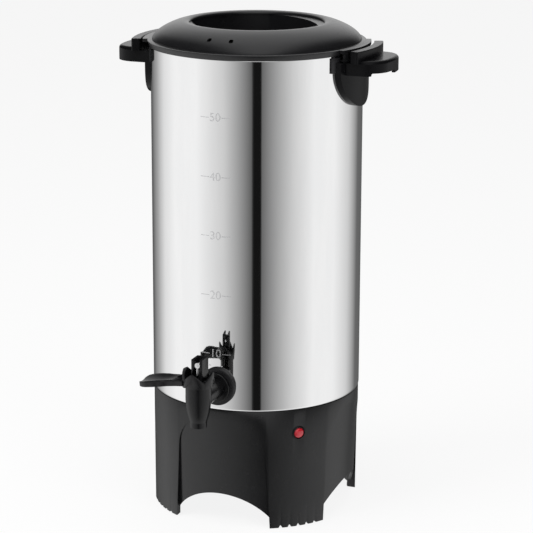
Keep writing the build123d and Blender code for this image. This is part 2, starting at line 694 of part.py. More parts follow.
LAMP_OUT = Axis((0, 0, 0), tuple(side_plane(LAMP_AZ).z_dir))
with BuildPart() as lamp_bezel:
    extrude(lamp_circle(2 * PROUD, BEZEL_R), amount=2 * PROUD + BEZEL_OUT)
    fillet(lamp_bezel.edges().filter_by(GeomType.CIRCLE).sort_by(LAMP_OUT)[-1], BEZEL_OUT / 2)
    Cylinder(BASE_R, BASE_H, align=ON, mode=Mode.SUBTRACT)
    extrude(lamp_circle(CLIP_BACK, LAMP_R - FIT), amount=CLIP_BACK + BEZEL_OUT / 2)
    extrude(lamp_circle(CLIP_BACK, LENS_R), amount=2 * CLIP_BACK, mode=Mode.SUBTRACT)
save(lamp_bezel.part, "lamp_bezel")

with BuildPart() as lamp_lens:
    extrude(lamp_circle(LENS_DEPTH, LENS_R - FIT), amount=LENS_DEPTH + LENS_OUT)
    fillet(lamp_lens.faces().sort_by(LAMP_OUT)[-1].edges(), LENS_EDGE)
    extrude(lamp_circle(LENS_DEPTH, LENS_R - LENS_T), amount=LENS_DEPTH + LENS_OUT - LENS_EDGE,
            mode=Mode.SUBTRACT)
save(lamp_lens.part, "lamp_lens")

with BuildPart() as lamp_bulb:
    extrude(lamp_circle(BULB_BACK, BULB_R), amount=BULB_LEN)
    fillet(lamp_bulb.edges().filter_by(GeomType.CIRCLE).sort_by(LAMP_OUT)[-1], BULB_R * 0.7)
save(lamp_bulb.part, "lamp_bulb")

with BuildPart() as lamp_clip:
    # spring cap behind the bezel's tube, with the socket of the bulb
    extrude(lamp_circle(CLIP_BACK, CLIP_R, LAMP_R + FIT), amount=2 * CLIP_T)
    extrude(lamp_circle(CLIP_BACK + CLIP_T, CLIP_R, BULB_R + FIT), amount=CLIP_T)
    extrude(lamp_circle(BULB_BACK, LENS_R - FIT, BULB_R + FIT), amount=BULB_BACK - CLIP_BACK)
save(lamp_clip.part, "lamp_clip")

# ---------------------------------------------------------------- mains inlet
INLET_SCREW_HEAD_Y = INLET_FLANGE_Y - INLET_FLANGE_T
with BuildPart() as inlet_socket:
    with BuildSketch(side_plane(180, INLET_BACK)):
        with Locations((0, INLET_Z)):
            RectangleRounded(INLET_W - 2 * GAP, INLET_H - 2 * GAP, INLET_CORNER - GAP)
    extrude(amount=INLET_LEN)
    with BuildSketch(side_plane(180, INLET_SCREW_HEAD_Y)):
        with Locations((0, INLET_Z)):
            RectangleRounded(2 * (INLET_SCREW_X + INLET_BOSS_R), INLET_H + INLET_BOSS_R, INLET_CORNER / 2)
    extrude(amount=INLET_FLANGE_T)
    with BuildSketch(side_plane(180, INLET_BACK + INLET_BACK_T)):
        with Locations((0, INLET_Z)):
            RectangleRounded(INLET_W - 2 * GAP - 2 * INLET_SHROUD, INLET_H - 2 * GAP - 2 * INLET_SHROUD,
                             INLET_CORNER - INLET_SHROUD)
    extrude(amount=INLET_LEN, mode=Mode.SUBTRACT)
    with BuildSketch(side_plane(180, INLET_BACK)):
        with Locations((0, INLET_Z)):
            with GridLocations(PIN_PITCH, 1, 2, 1):
                Circle(PIN_R + FIT)
            with GridLocations(2 * INLET_SCREW_X, 1, 2, 1):
                Circle(INLET_SCREW_R + 5 * FIT)
    extrude(amount=INLET_LEN, mode=Mode.SUBTRACT)
save(inlet_socket.part, "inlet_socket")

with BuildPart() as inlet_pins:
    with BuildSketch(side_plane(180, INLET_BACK - PIN_TAIL)):
        with Locations((0, INLET_Z)):
            with GridLocations(PIN_PITCH, 1, 2, 1):
                Circle(PIN_R)
    extrude(amount=INLET_LEN - PIN_IN + PIN_TAIL)
    fillet(inlet_pins.edges().filter_by(GeomType.CIRCLE).group_by(Axis.Y)[-1], PIN_R / 2)
save(inlet_pins.part, "inlet_pins")

with BuildPart() as inlet_screws:
    with BuildSketch(side_plane(180, INLET_SCREW_HEAD_Y)):
        with Locations((0, INLET_Z)):
            with GridLocations(2 * INLET_SCREW_X, 1, 2, 1):
                Circle(INLET_SCREW_R - SNUG)
    extrude(amount=INLET_SCREW_LEN)
    with BuildSketch(side_plane(180, INLET_SCREW_HEAD_Y)):
        with Locations((0, INLET_Z)):
            with GridLocations(2 * INLET_SCREW_X, 1, 2, 1):
                Circle(INLET_SCREW_HEAD_R)
    extrude(amount=-INLET_SCREW_HEAD_T)
save(inlet_screws.part, "inlet_screws")


# ---------------------------------------------------------------- tap
def shank_circle(out, r, r_in=0.0):
    """Disc or ring round the shank's axis, that far in front of the tank's axis."""
    with BuildSketch(side_plane(0, out)) as disc:
        with Locations((0, TAP_Z)):
            Circle(r)
            if r_in:
                Circle(r_in, mode=Mode.SUBTRACT)
    return disc.sketch


SPOUT_AXIS = Axis((0, TAP_Y, 0), (0, 0, 1))
FLANGE_Y = TANK_R + GASKET_T
with BuildPart() as tap_body:
    with BuildSketch(side_plane(0, -TAP_Y)):
        with BuildLine():
            Line((0, SPOUT_END), (SPOUT_END_R, SPOUT_END))
            lip = Line((SPOUT_END_R, SPOUT_END), (SPOUT_END_R + SPOUT_LIP_TAPER, SPOUT_END + SPOUT_LIP_H))
            Spline(lip @ 1, (SPOUT_TOP_R - SPOUT_BELLY_IN, TAP_Z - SPOUT_BELLY_DOWN),
                   (SPOUT_TOP_R, TAP_Z + SPOUT_NECK_UP))
            Polyline((SPOUT_TOP_R, TAP_Z + SPOUT_NECK_UP), (SPOUT_TOP_R, SPOUT_TOP), (0, SPOUT_TOP),
                     (0, SPOUT_END))
        make_face()
    revolve(axis=SPOUT_AXIS)
    # shank with its flange, through the tank wall
    extrude(shank_circle(TANK_IN - SHANK_IN, SHANK_HOLE_R - FIT), amount=FLANGE_Y + PROUD - TANK_IN + SHANK_IN)
    extrude(shank_circle(FLANGE_Y, FLANGE_R), amount=FLANGE_T)
    fillet(tap_body.edges().filter_by(GeomType.CIRCLE).filter_by(lambda e: abs(e.radius - FLANGE_R) < FIT)
           .sort_by(Axis.Y)[0], FLANGE_EDGE)
    extrude(shank_circle(FLANGE_Y, SHANK_R), amount=TAP_REACH - GASKET_T)
    # chamber, seat, outlet and inlet passage
    with Locations((0, TAP_Y, SEAT_Z)):
        Cylinder(CHAMBER_R, SPOUT_TOP, align=ON, mode=Mode.SUBTRACT)
    with Locations((0, TAP_Y, SEAT_Z + PROUD)):
        Cylinder(OUTLET_R, SPOUT_TOP, align=UNDER, mode=Mode.SUBTRACT)
    extrude(shank_circle(TANK_IN - 2 * SHANK_IN, PASSAGE_R), amount=TAP_REACH + 2 * SHANK_IN,
            mode=Mode.SUBTRACT)
save(tap_body.part, "tap_body")

with BuildPart() as tap_gasket:
    extrude(shank_circle(TANK_R - GASKET_T, GASKET_R, SHANK_HOLE_R + FIT), amount=2 * GASKET_T)
    fillet(tap_gasket.edges().filter_by(GeomType.CIRCLE).filter_by(lambda e: abs(e.radius - GASKET_R) < FIT)
           .sort_by(Axis.Y)[0], GASKET_EDGE)
    Cylinder(TANK_R, 2 * TANK_TOP, mode=Mode.SUBTRACT)
save(tap_gasket.part, "tap_gasket")

WASHER_FACE = TANK_R - WASHER_IN
with BuildPart() as tap_washer:
    extrude(shank_circle(WASHER_FACE, WASHER_R, SHANK_HOLE_R + FIT), amount=2 * WASHER_IN)
    Cylinder(TANK_IN, 2 * TANK_TOP, mode=Mode.INTERSECT)
save(tap_washer.part, "tap_washer")

with BuildPart() as tap_nut:
    with BuildSketch(side_plane(0, WASHER_FACE)):
        with Locations((0, TAP_Z)):
            RegularPolygon(WASHER_R, 6)
            Circle(SHANK_HOLE_R + FIT, mode=Mode.SUBTRACT)
    extrude(amount=-NUT_T)
save(tap_nut.part, "tap_nut")

with BuildPart() as tap_bonnet:
    with BuildSketch(Plane.XY.offset(CHAMBER_TOP)):
        with Locations((0, TAP_Y)):
            Circle(CHAMBER_R - FIT)
            Circle(STEM_R + FIT, mode=Mode.SUBTRACT)
    extrude(amount=BONNET_T)
save(tap_bonnet.part, "tap_bonnet")

STEM_FOOT_R = STEM_R + STEM_FOOT
CUP_TOP = SEAT_Z + CUP_H
with BuildPart() as seat_cup:
    with Locations((0, TAP_Y, SEAT_Z)):
        Cylinder(CUP_R, CUP_H, align=ON)
    chamfer(seat_cup.edges().sort_by(Axis.Z)[0], CUP_EDGE)
    fillet(seat_cup.edges().sort_by(Axis.Z)[-1], CUP_EDGE)
    with Locations((0, TAP_Y, SEAT_Z + CUP_FLOOR)):
        Cylinder(STEM_FOOT_R, CUP_H, align=ON, mode=Mode.SUBTRACT)
save(seat_cup.part, "seat_cup")

STEM_TOP = BALL_Z - SLEEVE_TOP
with BuildPart() as valve_stem:
    with Locations((0, TAP_Y, SEAT_Z + CUP_FLOOR)):
        Cylinder(STEM_FOOT_R, CUP_H - CUP_FLOOR, align=ON)
        Cylinder(STEM_R, STEM_TOP - SEAT_Z - CUP_FLOOR, align=ON)
    with Locations((0, TAP_Y, CUP_TOP)):
        Cylinder(STEM_COLLAR_R, STEM_COLLAR_T, align=ON)
save(valve_stem.part, "valve_stem")

SPRING_LOW = CUP_TOP + STEM_COLLAR_T + SPRING_WIRE + FIT
SPRING_H = CHAMBER_TOP - SPRING_WIRE - FIT - SPRING_LOW
with BuildPart() as tap_spring:
    with BuildLine():
        coil = Helix(SPRING_H / SPRING_TURN_COUNT, SPRING_H, SPRING_R, center=(0, TAP_Y, SPRING_LOW))
    with BuildSketch(Plane(origin=coil @ 0, z_dir=coil % 0)):
        Circle(SPRING_WIRE)
    sweep(is_frenet=True)
save(tap_spring.part, "tap_spring")

with BuildPart() as swivel_head:
    # sleeve that turns on the stem, with a round head across its top
    with Locations((0, TAP_Y, STEM_TOP - SLEEVE_LEN)):
        Cylinder(STEM_R + SLEEVE_T, BALL_Z - STEM_TOP + SLEEVE_LEN, align=ON)
    with BuildSketch(side_plane(0, -TAP_Y - BALL_R)):
        with Locations((0, BALL_Z)):
            Circle(BALL_R)
    extrude(amount=2 * BALL_R)
    with Locations((0, TAP_Y, STEM_TOP + GAP)):
        Cylinder(STEM_R + FIT, 2 * SLEEVE_LEN, align=UNDER, mode=Mode.SUBTRACT)
    with BuildSketch(side_plane(0, -TAP_Y - 2 * BALL_R)):
        with Locations((0, BALL_Z)):
            Circle(PIVOT_R + FIT)
    extrude(amount=4 * BALL_R, mode=Mode.SUBTRACT)
save(swivel_head.part, "swivel_head")

with BuildPart() as lever_pin:
    with BuildSketch(side_plane(0, YOKE_BACK)):
        with Locations((0, BALL_Z)):
            Circle(PIVOT_R)
    extrude(amount=-TAP_Y + BALL_R + PIVOT_OUT - YOKE_BACK)
save(lever_pin.part, "lever_pin")


def tap_plane(az):
    """Upright plane through the spout axis that faces azimuth az."""
    plane = side_plane(az)
    return Plane(origin=(0, TAP_Y, 0), x_dir=plane.x_dir, z_dir=plane.z_dir)


def crown_opening(az):
    """Wedge below a peak of the crown, from the spout's axis out to azimuth az."""
    with BuildPart() as wedge:
        with BuildSketch(tap_plane(az)):
            with BuildLine():
                Polyline((0, CROWN_PEAK - CROWN_BAND), (CROWN_DIAG - CROWN_HAUNCH, CROWN_LOW - SNUG),
                         (-CROWN_DIAG + CROWN_HAUNCH, CROWN_LOW - SNUG), close=True)
            make_face()
        extrude(amount=2 * CROWN_R)
    return wedge.part


DROOP = radians(PADDLE_DROOP)
CROWN_IN_R = CROWN_R - CROWN_T
CROWN_SLOPE = (CROWN_PEAK - CROWN_VALLEY) / CROWN_DIAG
YOKE_MID = -(YOKE_FRONT + YOKE_BACK) / 2
LEVER_DECK_TOP = LEVER_DECK_Z + LEVER_DECK_T
with BuildPart() as tap_lever:
    # crown: a ring that zigzags between four peaks and four valleys
    with BuildSketch(Plane.XY.offset(CROWN_LOW)):
        with Locations((0, TAP_Y)):
            Circle(CROWN_R)
            Circle(CROWN_IN_R, mode=Mode.SUBTRACT)
    extrude(amount=CROWN_PEAK - CROWN_LOW)
    for az in FEET_AZ:
        with BuildSketch(tap_plane(az)):
            with BuildLine():
                Polyline((0, CROWN_VALLEY), (2 * CROWN_DIAG, CROWN_VALLEY + 2 * CROWN_DIAG * CROWN_SLOPE),
                         (-2 * CROWN_DIAG, CROWN_VALLEY + 2 * CROWN_DIAG * CROWN_SLOPE), close=True)
            make_face()
        extrude(amount=2 * CROWN_R, mode=Mode.SUBTRACT)
    # paddle: a leaf that droops away from the crown
    with BuildSketch(Plane(origin=(0, TAP_Y, PADDLE_ROOT_Z), x_dir=(cos(DROOP), 0, sin(DROOP)),
                           z_dir=(-sin(DROOP), 0, cos(DROOP)))):
        with BuildLine():
            near = Spline((-PADDLE_LEN, -PADDLE_TIP_W / 2), (-PADDLE_LEN + PADDLE_BROAD, -PADDLE_W / 2),
                          (-PADDLE_NECK_X, -PADDLE_NECK / 2), (-PADDLE_ROOT_X, -CROWN_DIAG))
            far = Spline((-PADDLE_ROOT_X, CROWN_DIAG), (-PADDLE_NECK_X, PADDLE_NECK / 2),
                         (-PADDLE_LEN + PADDLE_BROAD, PADDLE_W / 2), (-PADDLE_LEN, PADDLE_TIP_W / 2))
            Line(near @ 1, far @ 0)
            Line(far @ 1, near @ 0)
        make_face()
    extrude(amount=PADDLE_T)
    # thumb scoop along the top of the paddle
    with BuildSketch(Plane(origin=(-CROWN_R, TAP_Y, 0), x_dir=(0, 1, 0), z_dir=(-1, 0, 0))):
        with Locations((0, PADDLE_ROOT_Z + PADDLE_T + SCOOP_R - SCOOP_DEPTH - CROWN_R * tan(DROOP))):
            Circle(SCOOP_R)
    extrude(amount=PADDLE_LEN, dir=(-cos(DROOP), 0, -sin(DROOP)), mode=Mode.SUBTRACT)
    # the crown's bore stays clear
    with Locations((0, TAP_Y, (CROWN_LOW + CROWN_PEAK) / 2)):
        Cylinder(CROWN_IN_R, 2 * CROWN_R, mode=Mode.SUBTRACT)
    # gusset from the left peak down to the neck of the paddle
    with BuildSketch(side_plane(0, -TAP_Y - GUSSET_T / 2)):
        with BuildLine():
            Polyline((-CROWN_R + PROUD, CROWN_LOW + PADDLE_UP), (-CROWN_R + PROUD, CROWN_PEAK - PROUD / 2),
                     (-CROWN_R - PROUD, CROWN_PEAK - PROUD),
                     (-CROWN_R - GUSSET_OUT, PADDLE_ROOT_Z + LEVER_DECK_T),
                     (-CROWN_R - GUSSET_OUT, CROWN_LOW + PADDLE_UP - PROUD), close=True)
        make_face()
    extrude(amount=GUSSET_T)
    # arched openings under the other three peaks
    for az in (0, 90, 180):
        add(crown_opening(az), mode=Mode.SUBTRACT)
    # deck inside the crown
    with BuildSketch(Plane.XY.offset(LEVER_DECK_Z)):
        with Locations((0, TAP_Y)):
            Circle(CROWN_IN_R + PROUD / 2)
    extrude(amount=LEVER_DECK_T)
    # yoke: two cheeks and a back wall that hold the pivot pin
    with BuildSketch(Plane.XY.offset(LEVER_DECK_Z)):
        with Locations((0, YOKE_MID)):
            Rectangle(2 * (YOKE_IN + YOKE_T), YOKE_W)
        with Locations((0, YOKE_MID - YOKE_T)):
            Rectangle(2 * YOKE_IN, YOKE_W, mode=Mode.SUBTRACT)
    extrude(amount=YOKE_TOP - LEVER_DECK_Z)
    # window in the cheek on the paddle's side, where the stem passes as the lever is pressed
    with BuildSketch(Plane.YZ.offset(-YOKE_IN)):
        with Locations((YOKE_MID - YOKE_T, (LEVER_DECK_TOP + WINDOW_TOP) / 2)):
            Rectangle(YOKE_W, WINDOW_TOP - LEVER_DECK_TOP)
    extrude(amount=-YOKE_T, mode=Mode.SUBTRACT)
    # slot in the deck for the stem
    with BuildSketch(Plane.XY.offset(LEVER_DECK_Z)):
        with Locations((-STEM_SLOT / 2 + STEM_SLOT_RIGHT, TAP_Y)):
            SlotOverall(STEM_SLOT, STEM_SLOT_W)
    extrude(amount=LEVER_DECK_T, mode=Mode.SUBTRACT)
    with BuildSketch(side_plane(0, YOKE_BACK)):
        with Locations((0, BALL_Z)):
            Circle(PIVOT_R + SNUG)
    extrude(amount=YOKE_T + PROUD, mode=Mode.SUBTRACT)
save(tap_lever.part, "tap_lever")


# ---------------------------------------------------------------- handles
def grip_outline(inset):
    """Plan of the grip, from the tank's axis to its bowed end; inset leaves the wall."""
    half = GRIP_W / 2 - inset
    end = HANDLE_REACH - inset
    with BuildSketch() as outline:
        with BuildLine():
            Polyline((end - GRIP_BOW, -half), (0, -half), (0, half), (end - GRIP_BOW, half))
            ThreePointArc((end - GRIP_BOW, half), (end, 0), (end - GRIP_BOW, -half))
        make_face()
        fillet(outline.vertices().group_by(Axis.X)[-1], GRIP_CORNER - inset)
    return outline.sketch


# half ellipse that hangs below the grip and follows the tank
with BuildPart() as shield:
    with BuildSketch(Plane.YZ):
        with Locations((0, SHIELD_SHOULDER)):
            Ellipse(SHIELD_HALF, SHIELD_SHOULDER - SHIELD_TIP)
            Rectangle(2 * SHIELD_HALF, SHIELD_SHOULDER, align=(Align.CENTER, Align.MIN), mode=Mode.SUBTRACT)
            Rectangle(2 * SHIELD_HALF, CHANNEL_FLOOR - SHIELD_SHOULDER, align=(Align.CENTER, Align.MIN))
    extrude(amount=2 * TANK_R)
    Cylinder(SHIELD_R, 2 * GRIP_TOP, mode=Mode.INTERSECT)
    Cylinder(TANK_R + FIT, 2 * GRIP_TOP, mode=Mode.SUBTRACT)

with BuildPart() as handle:
    # flat grip with a soft bowed end
    with BuildSketch(Plane.XY.offset(GRIP_TOP - GRIP_H)):
        add(grip_outline(0))
    extrude(amount=GRIP_H)
    fillet(handle.edges().group_by(Axis.Z)[-1].filter_by(lambda e: e.center().X > TANK_R / 4), GRIP_ROUND)
    # hollow underside, with a finger notch at the end of the front side
    with BuildSketch(Plane.XY.offset(GRIP_TOP - GRIP_H)):
        add(grip_outline(GRIP_WALL))
        Circle(GUARD_R, mode=Mode.SUBTRACT)
    extrude(amount=GRIP_H - GRIP_WALL, mode=Mode.SUBTRACT)
    with BuildSketch(Plane.XZ):
        with Locations((HANDLE_REACH, GRIP_TOP - GRIP_H)):
            RectangleRounded(2 * NOTCH_LEN, 2 * NOTCH_H, NOTCH_CORNER)
    extrude(amount=GRIP_W, mode=Mode.SUBTRACT)
    # raised guard, concentric with the lid
    with BuildSketch(Plane.XY.offset(GRIP_TOP - GRIP_WALL)):
        with BuildLine():
            guard_out = CenterArc((0, 0), GUARD_R + GUARD_T, -GUARD_HALF_DEG, 2 * GUARD_HALF_DEG)
            guard_in = CenterArc((0, 0), GUARD_R, -GUARD_HALF_DEG, 2 * GUARD_HALF_DEG)
            Line(guard_out @ 0, guard_in @ 0)
            Line(guard_out @ 1, guard_in @ 1)
        make_face()
        fillet(vertices(), GUARD_CORNER)
    extrude(amount=GUARD_TOP - GRIP_TOP + GRIP_WALL)
    fillet(handle.edges().group_by(Axis.Z)[-1], GUARD_ROUND)
    # shield against the tank, then the channel for the lug and the seat on the tank and its bracket
    add(shield.part)
    with BuildSketch(Plane.XY.offset(CHANNEL_FLOOR)):
        Circle(GUARD_R)
    extrude(amount=TANK_R, mode=Mode.SUBTRACT)
    with BuildSketch(Plane.XY.offset(SHIELD_TIP - PROUD)):
        Circle(TANK_R + FIT)
    extrude(amount=TANK_R, mode=Mode.SUBTRACT)
    with BuildSketch(Plane.XY.offset(BRACKET_LOW - FIT)):
        Circle(BRACKET_R + FIT)
    extrude(amount=TANK_R, mode=Mode.SUBTRACT)
    add(ring_piece(TANK_IN, BRACKET_R + FIT, TONGUE_LOW - FIT, BRACKET_LOW, -TONGUE_HALF_DEG - TONGUE_PLAY_DEG,
                   TONGUE_HALF_DEG + TONGUE_PLAY_DEG), mode=Mode.SUBTRACT)
    # screw holes
    with BuildSketch(Plane.YZ.offset(TANK_IN)):
        for z in HANDLE_SCREW_Z:
            with Locations((0, z)):
                Circle(HANDLE_SCREW_R - SNUG)
    extrude(amount=SHIELD_R - SCREW_SKIN - TANK_IN, mode=Mode.SUBTRACT)
save(handle.part, "right_handle")
save(handle.part.rotate(Axis.Z, 180), "left_handle")

with BuildPart() as bracket:
    # steel bracket between a handle and the tank, with the hook that the lid turns under
    add(ring_piece(TANK_R + FIT, BRACKET_R, BRACKET_LOW, BRACKET_TOP, -BRACKET_HALF_DEG, BRACKET_HALF_DEG))
    add(ring_piece(TANK_R + FIT, BRACKET_R + HOOK_OUT, BRACKET_TOP - BRACKET_T, BRACKET_TOP, HOOK_FROM_DEG,
                   HOOK_TO_DEG))
    add(ring_piece(TANK_R + FIT, BRACKET_R, TONGUE_LOW, BRACKET_LOW, -TONGUE_HALF_DEG, TONGUE_HALF_DEG))
    with BuildSketch(Plane.YZ):
        for z in HANDLE_SCREW_Z:
            with Locations((0, z)):
                Circle(HANDLE_SCREW_R + 4 * FIT)
    extrude(amount=2 * TANK_R, mode=Mode.SUBTRACT)
save(bracket.part, "right_bracket")
save(bracket.part.rotate(Axis.Z, 180), "left_bracket")

with BuildPart() as handle_screws:
    # from inside the tank, two to a handle
    for side in (-1, 1):
        with BuildSketch(Plane.YZ.offset(side * SADDLE_X)):
            for z in HANDLE_SCREW_Z:
                with Locations((0, z)):
                    Circle(HANDLE_SCREW_R - FIT)
        extrude(amount=side * (SHIELD_R - SCREW_SKIN - GAP - SADDLE_X))
        with BuildSketch(Plane.YZ.offset(side * SADDLE_X)):
            for z in HANDLE_SCREW_Z:
                with Locations((0, z)):
                    Circle(HANDLE_SCREW_HEAD_R)
        extrude(amount=-side * HANDLE_SCREW_HEAD_T)
save(handle_screws.part, "handle_screws")

with BuildPart() as handle_washers:
    # saddle washers that spread the load on the thin tank wall
    for side in (-1, 1):
        with BuildSketch(Plane.YZ.offset(side * SADDLE_X)):
            for z in HANDLE_SCREW_Z:
                with Locations((0, z)):
                    RectangleRounded(SADDLE_W, SADDLE_H, SADDLE_CORNER)
                    Circle(HANDLE_SCREW_R + FIT, mode=Mode.SUBTRACT)
        extrude(amount=side * 2 * SADDLE_IN)
    Cylinder(TANK_IN, 2 * TANK_TOP, mode=Mode.INTERSECT)
save(handle_washers.part, "handle_washers")


# ---------------------------------------------------------------- lid
def recess_outline(grow):
    """Outline of the finger recess: a circle with two opposite sides flattened by thumb pads."""
    with BuildSketch() as outline:
        Circle(RECESS_R + grow)
        for turn in (45, 225):
            with Locations((-PAD_SHIFT * cos(radians(turn)), -PAD_SHIFT * sin(radians(turn)))):
                Circle(PAD_R + grow, mode=Mode.INTERSECT)
    return outline.sketch


def from_rim(points):
    """Points given in from the tank's radius and up from the rim bead."""
    return [(TANK_R - inward, TANK_TOP + up) for inward, up in points]


dome = from_rim(DOME)
dome_inside = from_rim(DOME_INSIDE)
SKIRT_IN_R = SKIRT_R - SKIRT_T
with BuildPart() as lid_space:
    # room under the dome, round the bowl of the recess
    with BuildSketch(Plane.XZ):
        with BuildLine():
            Polyline((0, LID_LOW - PROUD), (SKIRT_IN_R, LID_LOW - PROUD), dome_inside[0])
            Spline(dome_inside)
            Polyline(dome_inside[-1], (0, dome_inside[-1][1]), (0, LID_LOW - PROUD))
        make_face()
    revolve(axis=Axis.Z)
    with BuildSketch(Plane.XY.offset(LID_LOW - 2 * PROUD)):
        add(recess_outline(LID_WALL))
    extrude(amount=RECESS_R, mode=Mode.SUBTRACT)
    with BuildSketch(Plane.XY.offset(PAD_Z - LID_WALL)):
        Circle(RECESS_R + LID_WALL)
    extrude(amount=RECESS_R, mode=Mode.SUBTRACT)

with BuildPart() as lid:
    # dome and band
    with BuildSketch(Plane.XZ):
        with BuildLine():
            Line((0, LID_LOW), (LID_TUCK_R, LID_LOW))
            band = Spline((LID_TUCK_R, LID_LOW), (LID_R - 2 * GAP, (LID_LOW + LID_BAND_Z) / 2 + PROUD / 2),
                          (LID_R, LID_BAND_Z - LID_BAND_ROUND))
            Polyline(band @ 1, (LID_R - LID_BAND_ROUND / 2, LID_BAND_Z), (dome[0][0], LID_BAND_Z), dome[0],
                     dome[1])
            Spline(dome[1:], tangents=((-0.3, 1), (-1, 0)))
            ThreePointArc(dome[-1], from_rim([CREST_ROUND])[0], (RECESS_R, TANK_TOP + RECESS_EDGE_UP))
            Polyline((RECESS_R, TANK_TOP + RECESS_EDGE_UP), (0, TANK_TOP + RECESS_EDGE_UP), (0, LID_LOW))
        make_face()
    revolve(axis=Axis.Z)
    add(lid_space.part, mode=Mode.SUBTRACT)
    # groove for the rim bead and the seal
    with BuildSketch(Plane.XY.offset(LID_LOW - PROUD)):
        Circle(LIP_IN_R)
        Circle(SKIRT_R, mode=Mode.SUBTRACT)
    extrude(amount=LID_SEAT_Z - LID_LOW + PROUD, mode=Mode.SUBTRACT)
    with BuildSketch(Plane.XY.offset(LID_SEAT_Z)):
        Circle(LID_IN_R)
        Circle(SKIRT_R, mode=Mode.SUBTRACT)
    extrude(amount=SEAL_H + FIT, mode=Mode.SUBTRACT)
    # skirt that centres the lid inside the rim bead
    with BuildSketch(Plane.XY.offset(SKIRT_LOW)):
        Circle(SKIRT_R)
        Circle(SKIRT_IN_R, mode=Mode.SUBTRACT)
    extrude(amount=LID_SEAT_Z - SKIRT_LOW)
    # bowl of the recess, then the recess: shallow round rim with the two thumb pads, and the deep part
    with BuildSketch(Plane.XY.offset(RECESS_FLOOR_Z - LID_WALL)):
        add(recess_outline(LID_WALL))
    extrude(amount=LID_SEAT_Z - RECESS_FLOOR_Z + LID_WALL)
    with BuildSketch(Plane.XY.offset(PAD_Z)):
        Circle(RECESS_R)
    extrude(amount=RECESS_R, mode=Mode.SUBTRACT)
    with BuildSketch(Plane.XY.offset(RECESS_FLOOR_Z)):
        add(recess_outline(0))
    extrude(amount=RECESS_R, mode=Mode.SUBTRACT)
    # ears over the handles, each with a lug that turns under the bracket's hook
    for turn in (0, 180):
        add(ring_piece(LIP_IN_R, EAR_R, LID_BAND_Z - EAR_T, LID_BAND_Z, -EAR_HALF_DEG, EAR_HALF_DEG)
            .rotate(Axis.Z, turn))
        add(ring_piece(EAR_R - LUG_T, EAR_R, LUG_LOW, LID_BAND_Z - EAR_T, LUG_FROM_DEG, LUG_TO_DEG)
            .rotate(Axis.Z, turn))
        add(ring_piece(BRACKET_R + FIT + GAP, EAR_R - LUG_T, LUG_LOW, LUG_LOW + LUG_TOE_T, LUG_FROM_DEG,
                       LUG_TO_DEG).rotate(Axis.Z, turn))
    # steam vents in the front slope
    for az in VENT_AZ:
        with BuildSketch(side_plane(az, TANK_R - VENT_IN)):
            with Locations((0, TANK_TOP + VENT_UP)):
                SlotOverall(VENT_LEN, VENT_R * 2)
        extrude(amount=VENT_IN, mode=Mode.SUBTRACT)
save(lid.part, "lid")

with BuildPart() as lid_seal:
    # silicone ring between the skirt and the side of the lid, seated on the rim bead
    with BuildSketch(Plane.XY.offset(LID_SEAT_Z)):
        Circle(LID_IN_R - FIT)
        Circle(SKIRT_R + FIT, mode=Mode.SUBTRACT)
    extrude(amount=SEAL_H)
save(lid_seal.part, "lid_seal")

# ---------------------------------------------------------------- percolator
TUBE_IN_R = TUBE_R - TUBE_WALL
FOOT_LOW = WELL_Z + GAP
with BuildPart() as pump_tube:
    with BuildSketch(Plane.XZ):
        with BuildLine():
            Polyline((TUBE_IN_R, WELL_Z + PIN_IN), (TUBE_IN_R, TUBE_TOP), (TUBE_R, TUBE_TOP),
                     (TUBE_R, WELL_Z + TUBE_FOOT_RISE), (TUBE_FOOT_R, WELL_Z + TUBE_SKIRT_H),
                     (TUBE_FOOT_R, FOOT_LOW), (TUBE_FOOT_R - TUBE_FOOT_T, FOOT_LOW),
                     (TUBE_FOOT_R - TUBE_FOOT_T, WELL_Z + TUBE_SKIRT_H - TUBE_FOOT_T),
                     (TUBE_R, WELL_Z + TUBE_FOOT_RISE - 2 * TUBE_FOOT_T), close=True)
        make_face()
    revolve(axis=Axis.Z)
    # slots that let water under the foot, and the collar that carries the basket
    with BuildSketch(Plane.XY.offset(WELL_Z)):
        with PolarLocations(TUBE_FOOT_R, TUBE_SLOT_COUNT):
            Rectangle(TUBE_SLOT_LEN, TUBE_SLOT_W)
    extrude(amount=TUBE_SLOT_H, mode=Mode.SUBTRACT)
    with BuildSketch(Plane.XY.offset(BASKET_LOW - GAP)):
        Circle(TUBE_R + COLLAR_W)
        Circle(TUBE_IN_R, mode=Mode.SUBTRACT)
    extrude(amount=-COLLAR_T)
save(pump_tube.part, "pump_tube")

BASKET_SLEEVE_R = TUBE_R + SLEEVE_PLAY
BEVEL_R = BASKET_R - BASKET_BEVEL
WALL_TURN = BASKET_WALL * 0.4
with BuildPart() as basket:
    with BuildSketch(Plane.XZ):
        with BuildLine():
            Polyline((BASKET_SLEEVE_R, BASKET_LOW), (BEVEL_R, BASKET_LOW),
                     (BASKET_R, BASKET_LOW + BASKET_BEVEL), (BASKET_R, BASKET_TOP),
                     (BASKET_R - BASKET_WALL, BASKET_TOP),
                     (BASKET_R - BASKET_WALL, BASKET_LOW + BASKET_BEVEL + WALL_TURN),
                     (BEVEL_R - WALL_TURN, BASKET_LOW + BASKET_WALL),
                     (BASKET_SLEEVE_R + BASKET_WALL, BASKET_LOW + BASKET_WALL),
                     (BASKET_SLEEVE_R + BASKET_WALL, BASKET_TOP - SLEEVE_DROP),
                     (BASKET_SLEEVE_R, BASKET_TOP - SLEEVE_DROP), close=True)
        make_face()
    revolve(axis=Axis.Z)
    for ring_r, holes in zip(BASKET_RING_R, BASKET_RING_COUNT):
        with BuildSketch(Plane.XY.offset(BASKET_LOW - PROUD)):
            with PolarLocations(ring_r, holes):
                Circle(SIEVE_R)
        extrude(amount=BASKET_WALL + 2 * PROUD, mode=Mode.SUBTRACT)
save(basket.part, "basket")

